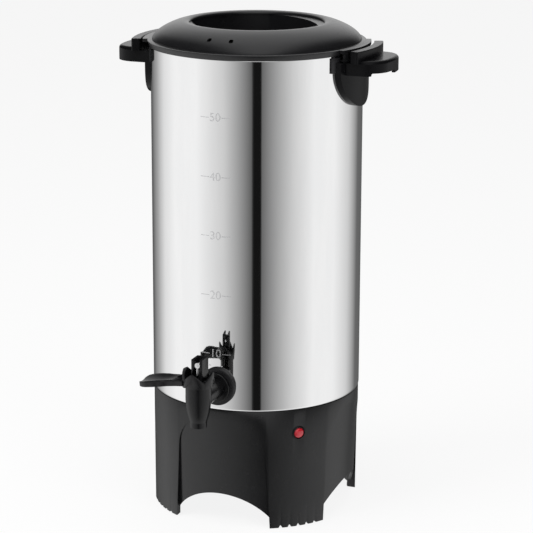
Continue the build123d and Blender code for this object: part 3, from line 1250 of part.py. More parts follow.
DISH_LOW = BASKET_TOP - DISH_DEPTH
DISH_SHELF = BASKET_TOP - DISH_STEP
DISH_IN_R = BASKET_SLEEVE_R + 2 * SLEEVE_PLAY
with BuildPart() as basket_cover:
    with BuildSketch(Plane.XZ):
        with BuildLine():
            Polyline((DISH_IN_R, DISH_SHELF), (DISH_IN_R + DISH_STEP, DISH_SHELF),
                     (DISH_IN_R + 2 * DISH_STEP, DISH_LOW), (BASKET_R - DISH_DEPTH, DISH_LOW),
                     (BASKET_R - DISH_LIP, BASKET_TOP + GAP), (BASKET_R + DISH_LIP, BASKET_TOP + GAP),
                     (BASKET_R + DISH_LIP, BASKET_TOP + GAP + BASKET_WALL),
                     (BASKET_R - DISH_LIP - WALL_TURN, BASKET_TOP + GAP + BASKET_WALL),
                     (BASKET_R - DISH_DEPTH - WALL_TURN, DISH_LOW + BASKET_WALL),
                     (DISH_IN_R + 2 * DISH_STEP + WALL_TURN, DISH_LOW + BASKET_WALL),
                     (DISH_IN_R + DISH_STEP + WALL_TURN, DISH_SHELF + BASKET_WALL),
                     (DISH_IN_R, DISH_SHELF + BASKET_WALL), close=True)
        make_face()
    revolve(axis=Axis.Z)
    for ring_r, holes in zip(DISH_RING_R, DISH_RING_COUNT):
        with BuildSketch(Plane.XY.offset(DISH_LOW - PROUD)):
            with PolarLocations(ring_r, holes):
                Circle(SIEVE_R)
        extrude(amount=BASKET_WALL + 2 * PROUD, mode=Mode.SUBTRACT)
save(basket_cover.part, "basket_cover")
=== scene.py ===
"""Looks for the percolating coffee urn: every shown surface is a modelled piece or a CAD node with its own finish."""

import json
from contextlib import contextmanager
from math import atan2, cos, hypot, pi, radians, sin, sqrt

import bmesh
import bpy
from mathutils import Matrix, Vector


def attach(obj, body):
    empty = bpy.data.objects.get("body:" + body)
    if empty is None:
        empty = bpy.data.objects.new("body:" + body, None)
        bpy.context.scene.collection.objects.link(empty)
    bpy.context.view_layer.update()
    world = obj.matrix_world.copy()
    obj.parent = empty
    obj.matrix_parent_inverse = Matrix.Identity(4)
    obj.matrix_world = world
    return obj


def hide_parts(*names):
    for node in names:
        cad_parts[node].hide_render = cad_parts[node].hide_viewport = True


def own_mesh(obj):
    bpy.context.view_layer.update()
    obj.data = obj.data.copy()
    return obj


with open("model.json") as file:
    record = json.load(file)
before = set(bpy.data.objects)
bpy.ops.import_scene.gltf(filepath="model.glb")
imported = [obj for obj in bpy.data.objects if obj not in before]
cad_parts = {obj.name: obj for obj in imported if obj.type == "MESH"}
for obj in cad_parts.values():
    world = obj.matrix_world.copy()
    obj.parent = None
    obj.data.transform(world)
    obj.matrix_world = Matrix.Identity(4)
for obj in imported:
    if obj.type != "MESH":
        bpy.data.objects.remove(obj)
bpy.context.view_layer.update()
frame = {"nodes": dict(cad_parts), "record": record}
bpy.context.scene.view_settings.view_transform = "Standard"

MM = 0.001
WELD = 0.000005
# rotation that carries the top of a form, or the face of a flat piece, to the front (-Y)
TO_FRONT = (radians(90), 0, 0)

# ---------------------------------------------------------------- sizes shared by several pieces
# lengths here and in the sections below are in mm, and heights are counted from the ground
TANK_R = 95.0
TANK_WALL = 0.8
BASE_H = 111.0
BASE_R = 94.5
RIM_Z = 424.0
BEAD_R = 1.9
TAP_Y = -139.0
TAP_Z = 133.0
FINE = 256


# ---------------------------------------------------------------- shader building
class Sum:
    """A socket that can be written in sums: each operator adds its Math node."""

    def __init__(self, sheet, socket):
        self.sheet = sheet
        self.socket = socket

    def _with(self, operation, first, second):
        return self.sheet.node("ShaderNodeMath", {"operation": operation}, {0: first, 1: second})[0]

    def __add__(self, other):
        return self._with("ADD", self, other)

    def __radd__(self, other):
        return self._with("ADD", other, self)

    def __sub__(self, other):
        return self._with("SUBTRACT", self, other)

    def __mul__(self, other):
        return self._with("MULTIPLY", self, other)

    def __rmul__(self, other):
        return self._with("MULTIPLY", other, self)

    def __truediv__(self, other):
        return self._with("DIVIDE", self, other)


class Finish:
    """The node sheet of a new material, or of a world."""

    def __init__(self, name, world=None):
        holder = world
        if world is None:
            holder = bpy.data.materials.new(name)
            self.material = holder
        holder.use_nodes = True
        self.tree = holder.node_tree
        self.tree.nodes.clear()

    def node(self, kind, settings=None, values=None):
        """Adds a node, its settings first and then the values or links of its sockets; returns its outputs."""
        made = self.tree.nodes.new(kind)
        for key, value in (settings or {}).items():
            if key == "stops":
                ramp = made.color_ramp
                while len(ramp.elements) < len(value):
                    ramp.elements.new(0.5)
                for element, (place, tone) in zip(ramp.elements, value):
                    element.position = place
                    element.color = (tone, tone, tone, 1.0)
            else:
                setattr(made, key, value)
        for key, value in (values or {}).items():
            if isinstance(value, Sum):
                self.tree.links.new(value.socket, made.inputs[key])
            else:
                made.inputs[key].default_value = value
        return [Sum(self, out) for out in made.outputs]

    def place(self):
        """Object coordinates."""
        return self.node("ShaderNodeTexCoord")[3]

    def parts(self, vector):
        return self.node("ShaderNodeSeparateXYZ", None, {0: vector})

    def noise(self, vector, scale, detail=2.0, roughness=0.5):
        return self.node("ShaderNodeTexNoise", {"noise_dimensions": "3D"},
                         {"Vector": vector, "Scale": scale, "Detail": detail, "Roughness": roughness})[0]

    def stretched(self, scale):
        """Object coordinates, scaled along each axis."""
        return self.node("ShaderNodeMapping", {"vector_type": "POINT"}, {"Vector": self.place(), "Scale": scale})[0]

    def bump(self, height, strength, distance):
        return self.node("ShaderNodeBump", None, {"Strength": strength, "Distance": distance, "Height": height})[0]

    def blend(self, factor, first, second):
        """Mixes two colours."""
        return self.node("ShaderNodeMix", {"data_type": "RGBA"}, {0: factor, 6: first, 7: second})[2]

    def soft(self, value, low, high, to_low=0.0, to_high=1.0):
        """Smooth step from one value to another."""
        return self.node("ShaderNodeMapRange", {"interpolation_type": "SMOOTHSTEP"},
                         {0: value, 1: low, 2: high, 3: to_low, 4: to_high})[0]

    def surface(self, settings):
        """Ends the sheet in a principled shader and returns the material."""
        shader = self.node("ShaderNodeBsdfPrincipled", None, settings)[0]
        self.node("ShaderNodeOutputMaterial", None, {0: shader})
        return self.material


def opaque(tone, share=1.0, lift=0.0):
    """Full-alpha colour, each channel scaled by a share and then lifted."""
    return (*(channel * share + lift for channel in tone), 1.0)


def polished_steel(name, tone, rough, grain, wave):
    """Steel with faint lengthwise polishing lines and a slow unevenness in its roughness."""
    f = Finish(name)
    lines = f.noise(f.stretched((1400.0, 1400.0, 30.0)), 1.0, 3.0, 0.6)
    haze = f.noise(f.place(), 14.0, 3.0)
    smear = f.noise(f.stretched((60.0, 60.0, 9.0)), 1.0, 4.0, 0.65)
    dull, clean = opaque((0.97, 0.972, 0.975), tone), opaque((1.0, 1.0, 1.0), tone)
    return f.surface({"Base Color": f.blend(f.soft(smear, 0.35, 0.7), dull, clean), "Metallic": 1.0,
                      "Roughness": rough + grain * (lines - 0.5) + grain * f.soft(haze, 0.4, 0.75),
                      "Normal": f.bump(lines, wave, 0.0002)})


DUST_SHARE = 0.015
DUST_GREY = (0.3, 0.3, 0.3)


def moulded_plastic(name, tone, rough, grain_size, grain, specular=0.5):
    """Injection-moulded plastic: fine spark-eroded grain, soft variation in gloss and a little dust in it."""
    f = Finish(name)
    spark = f.noise(f.place(), grain_size, 3.0, 0.65)
    patch = f.noise(f.place(), 22.0, 3.0, 0.55)
    dust = f.noise(f.place(), 320.0, 2.0, 0.5)
    colour = f.blend(f.soft(patch, 0.3, 0.72), opaque(tone), opaque(tone, 1.22))
    colour = f.blend(f.soft(dust, 0.66, 0.74) * DUST_SHARE, colour, opaque(DUST_GREY))
    return f.surface({"Base Color": colour, "Roughness": rough + 0.05 * (patch - 0.5) + 0.08 * (spark - 0.5),
                      "Specular IOR Level": specular, "Normal": f.bump(spark, grain, 0.0003)})


def soft_rubber(name, tone, rough):
    """Rubber or silicone with a cloudy bloom and fine grit."""
    f = Finish(name)
    bloom = f.noise(f.place(), 60.0, 4.0, 0.6)
    grit = f.noise(f.place(), 1800.0, 2.0)
    return f.surface({"Base Color": f.blend(f.soft(bloom, 0.35, 0.7), opaque(tone), opaque(tone, 1.3, 0.003)),
                      "Roughness": rough + 0.12 * (bloom - 0.5), "Specular IOR Level": 0.35,
                      "Normal": f.bump(grit, 0.25, 0.0002)})


def worked_metal(name, tone, rough, stain, metallic=1.0):
    """Plain turned, pressed or plated metal with stains and fine scratches."""
    f = Finish(name)
    patch = f.noise(f.place(), 45.0, 4.0, 0.6)
    scratch = f.noise(f.stretched((900.0, 900.0, 60.0)), 1.0, 2.0)
    return f.surface({"Base Color": f.blend(f.soft(patch, 0.35, 0.72), opaque(tone), opaque(tone, 1.0 - stain)),
                      "Metallic": metallic, "Roughness": rough + 0.14 * (patch - 0.5) + 0.08 * (scratch - 0.5),
                      "Normal": f.bump(scratch, 0.15, 0.0002)})


def lit_lens():
    """Red tinted lens, faintly lit, with the lamp's fine prisms in it."""
    f = Finish("lens_red")
    prisms = f.noise(f.place(), 900.0, 1.0)
    wash = f.noise(f.place(), 130.0, 2.0)
    colour = f.blend(f.soft(wash, 0.35, 0.65), opaque((0.40, 0.006, 0.018)), opaque((0.56, 0.014, 0.028)))
    return f.surface({"Base Color": colour, "Roughness": 0.22 + 0.1 * (prisms - 0.5),
                      "Emission Color": opaque((0.7, 0.02, 0.03)), "Emission Strength": 0.03,
                      "Coat Weight": 0.8, "Coat Roughness": 0.1, "Normal": f.bump(prisms, 0.25, 0.0002)})


def clear_glass():
    """Slightly smoked glass of the lamp's bulb."""
    f = Finish("bulb_glass")
    smoke = f.noise(f.place(), 260.0, 2.0)
    colour = f.blend(f.soft(smoke, 0.4, 0.7), opaque((0.9, 0.9, 0.86)), opaque((0.8, 0.78, 0.7)))
    return f.surface({"Base Color": colour, "Roughness": 0.1 + 0.05 * smoke, "Transmission Weight": 0.8})


def stamped_mark():
    """Etched number on the steel: a duller grey than the polished wall."""
    f = Finish("etched_mark")
    frost = f.noise(f.place(), 2600.0, 2.0)
    colour = f.blend(f.soft(frost, 0.3, 0.7), opaque((0.62, 0.62, 0.63)), opaque((0.76, 0.76, 0.77)))
    return f.surface({"Base Color": colour, "Metallic": 0.8, "Roughness": 0.24 + 0.08 * (frost - 0.5),
                      "Normal": f.bump(frost, 0.3, 0.0001)})


STEEL = polished_steel("tank_polish", 0.88, 0.035, 0.02, 0.012)
INNER_STEEL = polished_steel("tank_inside", 0.72, 0.24, 0.12, 0.08)
BRIGHT = polished_steel("bright_steel", 0.82, 0.12, 0.06, 0.03)
PLATED = worked_metal("zinc_plate", (0.62, 0.63, 0.64), 0.34, 0.22)
HEATER = worked_metal("heat_stained_band", (0.42, 0.38, 0.33), 0.45, 0.4)
ALUMINIUM = worked_metal("pressed_aluminium", (0.74, 0.75, 0.76), 0.3, 0.12)
BRASS = worked_metal("pin_brass", (0.72, 0.53, 0.22), 0.24, 0.25)
BASE_BLACK = moulded_plastic("base_black", (0.0078, 0.0079, 0.0084), 0.23, 1900.0, 0.1, 0.4)
HANDLE_BLACK = moulded_plastic("handle_black", (0.004, 0.004, 0.0045), 0.24, 1700.0, 0.09, 0.1)
LID_BLACK = moulded_plastic("lid_black", (0.0075, 0.0075, 0.0082), 0.285, 1700.0, 0.1, 0.52)
TAP_BLACK = moulded_plastic("tap_black", (0.005, 0.005, 0.0055), 0.2, 1500.0, 0.06, 0.3)
LEVER_BLACK = moulded_plastic("lever_black", (0.0065, 0.0065, 0.0072), 0.24, 1500.0, 0.07, 0.36)
LAMP_BLACK = moulded_plastic("lamp_black", (0.004, 0.004, 0.0045), 0.25, 1500.0, 0.05, 0.3)
INLET_BLACK = moulded_plastic("inlet_black", (0.014, 0.014, 0.015), 0.36, 1500.0, 0.1)
INSULATOR = moulded_plastic("insulator_brown", (0.05, 0.036, 0.026), 0.4, 900.0, 0.12)
RUBBER = soft_rubber("tap_rubber", (0.009, 0.009, 0.01), 0.5)
SILICONE = soft_rubber("milky_silicone", (0.55, 0.55, 0.52), 0.42)
BRACKET_BLACK = worked_metal("bracket_enamel", (0.02, 0.02, 0.022), 0.36, 0.2, 0.25)
LENS = lit_lens()
GLASS = clear_glass()
MARK = stamped_mark()

SLOT_FINISH = {
    "tank_steel": STEEL, "inner_steel": INNER_STEEL, "plain_steel": PLATED, "bright_steel": BRIGHT,
    "base_plastic": BASE_BLACK, "handle_plastic": HANDLE_BLACK, "lid_plastic": LID_BLACK, "tap_plastic": TAP_BLACK,
    "lever_plastic": LEVER_BLACK, "tap_rubber": RUBBER, "silicone": SILICONE, "insulator": INSULATOR,
    "heater": HEATER, "lamp_black": LAMP_BLACK, "lamp_red": LENS, "lamp_glass": GLASS, "inlet_black": INLET_BLACK,
    "pin_brass": BRASS, "aluminium_parts": ALUMINIUM, "black_steel": BRACKET_BLACK,
}
for part in frame["record"]["subparts"]:
    shown = frame["nodes"][part["node"]]
    for index in range(len(shown.material_slots)):
        shown.material_slots[index].material = SLOT_FINISH[part["material_slot"]]


# ---------------------------------------------------------------- modelling helpers
def nothing_selected():
    """Object mode with nothing selected."""
    if bpy.context.object is not None and bpy.context.object.mode != "OBJECT":
        bpy.ops.object.mode_set(mode="OBJECT")
    bpy.ops.object.select_all(action="DESELECT")


def only(piece):
    """Makes a piece the one that operators act on."""
    nothing_selected()
    piece.select_set(True)
    bpy.context.view_layer.objects.active = piece


def settle(name):
    """Leaves edit mode, puts the piece's place into its mesh and names it."""
    if bpy.context.object.mode != "OBJECT":
        bpy.ops.object.mode_set(mode="OBJECT")
    piece = bpy.context.object
    piece.name = name
    piece.data.name = name
    bpy.ops.object.transform_apply(location=True, rotation=True, scale=True)
    return piece


def placed(piece, at=(0.0, 0.0, 0.0), tilt=(0.0, 0.0, 0.0), name=None):
    """Turns a piece, moves it (mm) and puts its place into its mesh."""
    only(piece)
    piece.location = Vector(at) * MM
    piece.rotation_euler = tilt
    return settle(name or piece.name)


@contextmanager
def editing(piece):
    """Edit mode on one piece for the length of a with block."""
    only(piece)
    bpy.ops.object.mode_set(mode="EDIT")
    yield
    bpy.ops.object.mode_set(mode="OBJECT")


def turned(name, profile, sides=128, at=(0.0, 0.0, 0.0), tilt=(0.0, 0.0, 0.0), ring=False):
    """Turned form: a circle at the first radius and height, extruded from ring to ring along the profile.
    A form with ring=True comes back to where it began; the others are closed at both ends."""
    nothing_selected()
    radius, height = profile[0]
    bpy.ops.mesh.primitive_circle_add(vertices=sides, radius=radius * MM, fill_type="NOTHING" if ring else "NGON",
                                      location=(0, 0, height * MM), enter_editmode=True)
    bpy.ops.mesh.select_all(action="SELECT")
    if not ring:
        bpy.ops.mesh.select_mode(type="FACE")
        bpy.ops.mesh.select_all(action="SELECT")
    extrude = bpy.ops.mesh.extrude_edges_move if ring else bpy.ops.mesh.extrude_region_move
    for r, z in profile[1:]:
        extrude(TRANSFORM_OT_translate={"value": (0, 0, (z - height) * MM)})
        share = r / radius
        bpy.ops.transform.resize(value=(share, share, 1.0), center_override=(0, 0, z * MM))
        radius, height = r, z
    bpy.ops.mesh.select_all(action="SELECT")
    bpy.ops.mesh.remove_doubles(threshold=WELD)
    bpy.ops.mesh.normals_make_consistent(inside=False)
    bpy.ops.object.mode_set(mode="OBJECT")
    bpy.ops.object.transform_apply(location=True, rotation=True, scale=True)
    return placed(bpy.context.object, at, tilt, name)


def with_modifier(piece, kind, **settings):
    """Gives a piece a modifier and applies it."""
    only(piece)
    modifier = piece.modifiers.new(kind.lower(), kind)
    for key, value in settings.items():
        setattr(modifier, key, value)
    bpy.ops.object.modifier_apply(modifier=modifier.name)
    return piece


def smooth(piece, angle):
    """Smooth shading, with edges sharper than the angle (degrees) left sharp."""
    only(piece)
    bpy.ops.object.shade_smooth_by_angle(angle=radians(angle))
    return piece


def finish_piece(piece, body, slot, finish, *stands_for):
    """Gives a finished piece its material and body, and hides the CAD nodes that it stands for; the slot is not used.
    """
    piece.data.materials.clear()
    piece.data.materials.append(finish)
    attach(piece, body)
    if stands_for:
        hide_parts(*stands_for)
    return piece


def carve(piece, *tools, operation="DIFFERENCE"):
    """Cuts the tools out of a piece, or joins them to it, and throws the tools away."""
    for tool in tools:
        with_modifier(piece, "BOOLEAN", object=tool, operation=operation, solver="EXACT")
        bpy.data.objects.remove(tool)
    return piece


def block(name, low, high, narrow=1.0):
    """Box between two corners (mm), its top drawn in along X by a share."""
    nothing_selected()
    middle = [(a + b) / 2 * MM for a, b in zip(low, high)]
    bpy.ops.mesh.primitive_cube_add(size=1.0, location=middle)
    box = bpy.context.object
    box.scale = [(b - a) * MM for a, b in zip(low, high)]
    bpy.ops.object.transform_apply(location=False, rotation=False, scale=True)
    with editing(box):
        pick(lambda at: at.z > 0, "verts")
        bpy.ops.transform.resize(value=(narrow, 1.0, 1.0), center_override=(0.0, 0.0, middle[2]))
    return settle(name)


def pick(test, what="edges"):
    """In edit mode, selects the edges or vertices whose middle passes a test given in mm."""
    bpy.ops.mesh.select_mode(type={"edges": "EDGE", "verts": "VERT"}[what])
    bpy.ops.mesh.select_all(action="DESELECT")
    mesh = bmesh.from_edit_mesh(bpy.context.object.data)
    for part in getattr(mesh, what):
        middle = (part.verts[0].co + part.verts[1].co) / 2 if what == "edges" else part.co
        if test(middle / MM):
            part.select_set(True)
    bmesh.update_edit_mesh(bpy.context.object.data)


def shifted(piece, test, by):
    """Moves the vertices that pass a test, by a step in mm."""
    with editing(piece):
        pick(test, "verts")
        bpy.ops.transform.translate(value=Vector(by) * MM)
    return piece


def drawn_apart(peg, reach):
    """Makes a slot tool of a peg: its left and right halves move apart."""
    for side in (-1, 1):
        shifted(peg, lambda at: at.x * side > 0.05, (side * reach, 0.0, 0.0))
    return peg


def rounded(piece, test, radius, segments):
    """Rounds the edges whose middle passes a test."""
    with editing(piece):
        pick(test)
        bpy.ops.mesh.bevel(offset=radius * MM, segments=segments, affect="EDGES")
    return piece


def turn_copy(piece, degrees_round, name):
    """Copy of a piece with its own mesh, turned about the tank's axis."""
    only(piece)
    bpy.ops.object.duplicate()
    return placed(bpy.context.object, tilt=(0, 0, radians(degrees_round)), name=name)


def joined(pieces):
    """The pieces as one object."""
    nothing_selected()
    for each in pieces:
        each.select_set(True)
    bpy.context.view_layer.objects.active = pieces[0]
    bpy.ops.object.join()
    return bpy.context.object


def all_round(piece, turns):
    """Turned copies of the piece as one object, in its stead."""
    copies = [turn_copy(piece, turn, f"{piece.name}_{turn}") for turn in turns]
    bpy.data.objects.remove(piece)
    return joined(copies)


def cleaned(piece, near=0.02):
    """Merges points left side by side by a cut."""
    with editing(piece):
        bpy.ops.mesh.select_all(action="SELECT")
        bpy.ops.mesh.remove_doubles(threshold=near * MM)
        bpy.ops.mesh.dissolve_degenerate(threshold=near * MM)
    return piece


def swept(name, low_r, high_r, low_z, high_z, from_deg, to_deg, steps=24):
    """Slice of a ring: an upright rectangle spun about the tank's axis, angles counted from +X."""
    nothing_selected()
    bpy.ops.mesh.primitive_plane_add(size=1.0, location=(0, 0, 0))
    flat = bpy.context.object
    flat.scale = ((high_r - low_r) * MM, (high_z - low_z) * MM, 1.0)
    bpy.ops.object.transform_apply(location=False, rotation=False, scale=True)
    placed(flat, ((low_r + high_r) / 2, 0, (low_z + high_z) / 2), TO_FRONT)
    placed(flat, tilt=(0, 0, radians(from_deg)))
    with editing(flat):
        bpy.ops.mesh.select_all(action="SELECT")
        bpy.ops.mesh.spin(steps=steps, angle=radians(to_deg - from_deg), center=(0, 0, 0), axis=(0, 0, -1))
        bpy.ops.mesh.select_all(action="SELECT")
        bpy.ops.mesh.remove_doubles(threshold=WELD)
        bpy.ops.mesh.normals_make_consistent(inside=False)
    return settle(name)


# ---------------------------------------------------------------- base
BASE_WALL = 2.6
DECK_T = 3.0
DECK_W = 13.0
PANEL_TOP = 101.0
PANEL_W = 0.479 * BASE_R
PANEL_TOP_W = 0.429 * BASE_R
PANEL_LEAN = (PANEL_W - PANEL_TOP_W) / PANEL_TOP
PANEL_CORNER = 30.0
PANEL_LIP = 0.4
PANEL_DEPTH = 4.0
ARCH_SPRING = 7.5
ARCH_TOP = 30.5
FOOT_HALF_DEG = 15.5
LOBES = 6
LOBE_RISE = 2.3
LAMP_Z = 88.4
LAMP_AZ = 45.0
LAMP_HOLE_R = 5.2
INLET_Z = 72.0
INLET_HALF = 22.0
INLET_RISE = 12.0
# widest bevel; the shortest edge left on the base holds it to about 0.12
BASE_SOFTEN = 0.55
QUARTERS = (0, 90, 180, 270)


def wall_r(z):
    """Radius of the recessed panels' cone."""
    return BASE_R - PANEL_LIP - (PANEL_DEPTH - PANEL_LIP) * (PANEL_TOP - z) / PANEL_TOP


def panel_tool(grow):
    """What a recessed panel takes off the base: a tapering block with two round corners, outside the panel's cone."""
    low, top = -1.0, PANEL_TOP + grow
    half = PANEL_W + grow + PANEL_LEAN
    tool = block("panel_tool", (-half, -BASE_R - 20, low), (half, -BASE_R / 2, top), (PANEL_TOP_W + grow) / half)
    rounded(tool, lambda at: at.z > top - 1 and abs(at.x) > 10, PANEL_CORNER + grow, 14)
    core = turned("panel_core", [(wall_r(low - 2) - grow, low - 2), (wall_r(top + 2) - grow, top + 2)], sides=FINE)
    return carve(tool, core)


def arch_tool():
    """Opening between two feet: a lying drum with its sides cut along the edges of the panel."""
    edge = PANEL_W - PANEL_LEAN * ARCH_SPRING
    rise = ARCH_TOP - ARCH_SPRING
    radius = (edge * edge + rise * rise) / (2 * rise)
    tool = turned("arch_tool", [(radius, 0.0), (radius, 50.0)], sides=160, at=(0, -60, ARCH_TOP - radius),
                  tilt=TO_FRONT)
    with editing(tool):
        for side in (-1, 1):
            bpy.ops.mesh.select_all(action="SELECT")
            bpy.ops.mesh.bisect(plane_co=(side * PANEL_W * MM, 0, 0), plane_no=(side, 0, PANEL_LEAN), use_fill=True,
                                clear_outer=True)
    return tool


def lobe_tool():
    """Groove between two scallops of a foot: a slim ridge with a rounded top."""
    half = BASE_R * radians(FOOT_HALF_DEG / LOBES) * 0.55
    tool = block("lobe_tool", (-half, -BASE_R - 6, -1.0), (half, -BASE_R + 12, LOBE_RISE), 0.16)
    return rounded(tool, lambda at: at.z > LOBE_RISE - 0.1 and abs(at.x) > 0.2, 0.3, 3)


def round_hole_tool(name, radius, azimuth, z, near, far):
    """Peg that points outward, from one distance from the tank's axis to another."""
    tool = turned(name, [(radius, -far), (radius, -near)], sides=64, tilt=(radians(-90), 0, 0))
    return placed(tool, (0, 0, z), (0, 0, radians(azimuth)))


def make_base():
    """Base: a ring with a ledge on top, four recessed panels, arches between the feet and scalloped soles."""
    shell = turned("base_moulding", [(BASE_R, 0.0), (BASE_R, 25.0), (BASE_R, 60.0), (BASE_R, BASE_H - 0.9),
                                     (BASE_R - 0.27, BASE_H - 0.27), (BASE_R - 0.9, BASE_H)], sides=FINE)
    carve(shell, all_round(panel_tool(0.0), QUARTERS))
    inner_r, deck_low = BASE_R - BASE_WALL, BASE_H - DECK_T
    inside = turned("base_inside", [(inner_r, -2.0), (inner_r, deck_low), (BASE_R - DECK_W, deck_low),
                                    (BASE_R - DECK_W, BASE_H + 2)], sides=FINE)
    carve(inside, all_round(panel_tool(BASE_WALL), QUARTERS))
    carve(shell, inside)
    carve(shell, all_round(arch_tool(), QUARTERS))
    lobe_turns = [45 + quarter - FOOT_HALF_DEG + k * 2 * FOOT_HALF_DEG / LOBES for quarter in QUARTERS
                  for k in range(1, LOBES)]
    carve(shell, all_round(lobe_tool(), lobe_turns))
    carve(shell, round_hole_tool("lamp_hole_tool", LAMP_HOLE_R, LAMP_AZ, LAMP_Z, 70, 110))
    window = block("inlet_window_tool", (-INLET_HALF, 60.0, INLET_Z - INLET_RISE),
                   (INLET_HALF, 110.0, INLET_Z + INLET_RISE))
    rounded(window, lambda at: abs(at.x) > INLET_HALF - 1 and abs(at.z - INLET_Z) > INLET_RISE - 1, 8.0, 8)
    carve(shell, window)
    cleaned(shell, 0.12)
    with_modifier(shell, "BEVEL", width=BASE_SOFTEN * MM, segments=3, limit_method="ANGLE", angle_limit=radians(28))
    smooth(cleaned(shell), 32.0)
    return finish_piece(shell, "urn", "base_plastic", BASE_BLACK, "base_skirt")


make_base()


# ---------------------------------------------------------------- pilot lamp
def on_the_foot(piece):
    """Carries a piece, turned on the front centre line, round to the lamp's place in the front right foot."""
    return placed(piece, (0, 0, LAMP_Z), (0, 0, radians(LAMP_AZ)))


def make_lamp_cap():
    """Bezel ring and domed lens; their profiles' heights count outward from the tank's axis."""
    bezel = [(5.0, 86.0), (5.0, 94.9), (5.12, 95.35), (5.4, 95.5), (5.95, 95.35), (6.25, 94.95), (6.3, 94.52),
             (5.15, 94.5), (5.15, 86.0), (5.05, 85.98)]
    ring = turned("lamp_bezel_ring", bezel, sides=96, tilt=TO_FRONT, ring=True)
    smooth(on_the_foot(ring), 40.0)
    finish_piece(ring, "urn", "lamp_black", LAMP_BLACK, "lamp_bezel")
    dome = [(4.0, 88.0), (4.82, 88.2), (4.84, 93.6), (4.78, 94.2), (4.55, 94.75), (4.0, 95.25), (3.2, 95.62),
            (2.2, 95.88), (1.1, 96.02), (0.25, 96.05)]
    cap = turned("lamp_lens_cap", dome, sides=72, tilt=TO_FRONT)
    smooth(on_the_foot(cap), 50.0)
    finish_piece(cap, "urn", "lamp_red", LENS, "lamp_lens")


make_lamp_cap()


# ---------------------------------------------------------------- tank
BEAD_TURN = 250.0
TAP_HOLE_R = 8.35


def rim_curve(steps):
    """Points of the rolled bead, from the outer wall over the top to its tucked-in end."""
    middle_r = TANK_R - BEAD_R
    turn = [radians(k * BEAD_TURN / steps) for k in range(1, steps + 1)]
    return [(middle_r + BEAD_R * cos(a), RIM_Z + BEAD_R * sin(a)) for a in turn]


def make_tank():
    """Tank wall with its rolled rim and the hole of the tap."""
    inside = TANK_R - TANK_WALL
    foot = (inside + 0.05, BASE_H + 0.02)
    # the lowest edge is curved in; rings close to the ends keep the long wall's shading straight
    outer = [(TANK_R - 0.62, BASE_H + 0.1), (TANK_R - 0.4, BASE_H + 0.36), (TANK_R - 0.22, BASE_H + 0.8),
             (TANK_R - 0.09, BASE_H + 1.35), (TANK_R - 0.02, BASE_H + 1.95), (TANK_R, BASE_H + 2.5),
             (TANK_R, BASE_H + 3.0), (TANK_R, BASE_H + 5.0), (TANK_R, 180.0), (TANK_R, 250.0), (TANK_R, 330.0),
             (TANK_R, RIM_Z - 4.0), (TANK_R, RIM_Z - 0.6), (TANK_R, RIM_Z)]
    inner = [(inside, RIM_Z - 2.2), (inside, RIM_Z - 5.0), (inside, 300.0), (inside, BASE_H + 0.02)]
    wall = turned("tank_wall", [foot] + outer + rim_curve(14) + inner + [foot], sides=FINE, ring=True)
    carve(wall, turned("tap_hole_tool", [(TAP_HOLE_R, -20.0), (TAP_HOLE_R, 20.0)], sides=48,
                       at=(0, -TANK_R, TAP_Z), tilt=TO_FRONT))
    smooth(wall, 40.0)
    return finish_piece(wall, "urn", "tank_steel", STEEL, "tank_shell")


make_tank()


# ---------------------------------------------------------------- tap lever
SPOUT_TOP = TAP_Z + 13.0
CROWN_LOW = SPOUT_TOP + 0.3
CROWN_VALLEY = SPOUT_TOP + 6.0
CROWN_PEAK = SPOUT_TOP + 14.5
CROWN_R = 14.0
CROWN_IN_R = 11.6
BAND_IN_R = 13.0
CROWN_DIAG = CROWN_R * sin(radians(45))
BAND_H = 6.0
PIN_Z = TAP_Z + 32.0
DECK_LOW = SPOUT_TOP + 2.2
DECK_TOP = DECK_LOW + 2.2
YOKE_IN = 2.7
YOKE_OUT = 5.1
YOKE_FRONT = TAP_Y - 3.5
YOKE_BACK = YOKE_FRONT + 14.0
YOKE_TOP = PIN_Z + 5.5
YOKE_WEB = 2.4
PADDLE_DROOP = radians(6.7)
PADDLE_T = 4.8
PADDLE_NEAR = 11.0
PADDLE_LONG = 42.0
# half the paddle's width at distances from the spout's axis
PADDLE_WIDTHS = ((11.0, 9.6), (18.0, 9.0), (25.0, 9.2), (33.0, 10.9), (40.0, 12.0), (46.0, 12.2), (50.0, 11.5),
                 (53.0, 10.2))
# the crown's notches: direction in degrees and height above the common low
VALLEYS = ((45, 0.0), (135, 0.0), (315, 0.0), (225, 4.4))
PIN_HOLE_R = 1.03
STEM_SLOT_R = 2.5
STEM_SLOT_HALF = 3.4
STEM_SLOT_X = -3.3
HAUNCH_X = (-24.5, -10.0)
HAUNCH_Y = (TAP_Y + 5.2, TAP_Y + 8.8)
HAUNCH_Z = (SPOUT_TOP + 1.6, SPOUT_TOP + 11.5)
HAUNCH_FALL = 8.3
# widest bevel; the shortest edge left on the lever holds it to about 0.02
LEVER_SOFTEN = 0.3


def at_the_spout(tool, azimuth):
    """Turns a tool, made on the front centre line, about the spout's axis."""
    return placed(tool, (0, TAP_Y, 0), (0, 0, radians(azimuth)))


def valley_tool(azimuth, bottom):
    """Notch of the crown between two peaks."""
    wide = (CROWN_PEAK + 1.0 - bottom) * CROWN_DIAG / (CROWN_PEAK - CROWN_VALLEY)
    return at_the_spout(block("valley_tool", (-0.05, -20.0, bottom), (0.05, -7.0, CROWN_PEAK + 1.0), wide / 0.05),
                        azimuth)


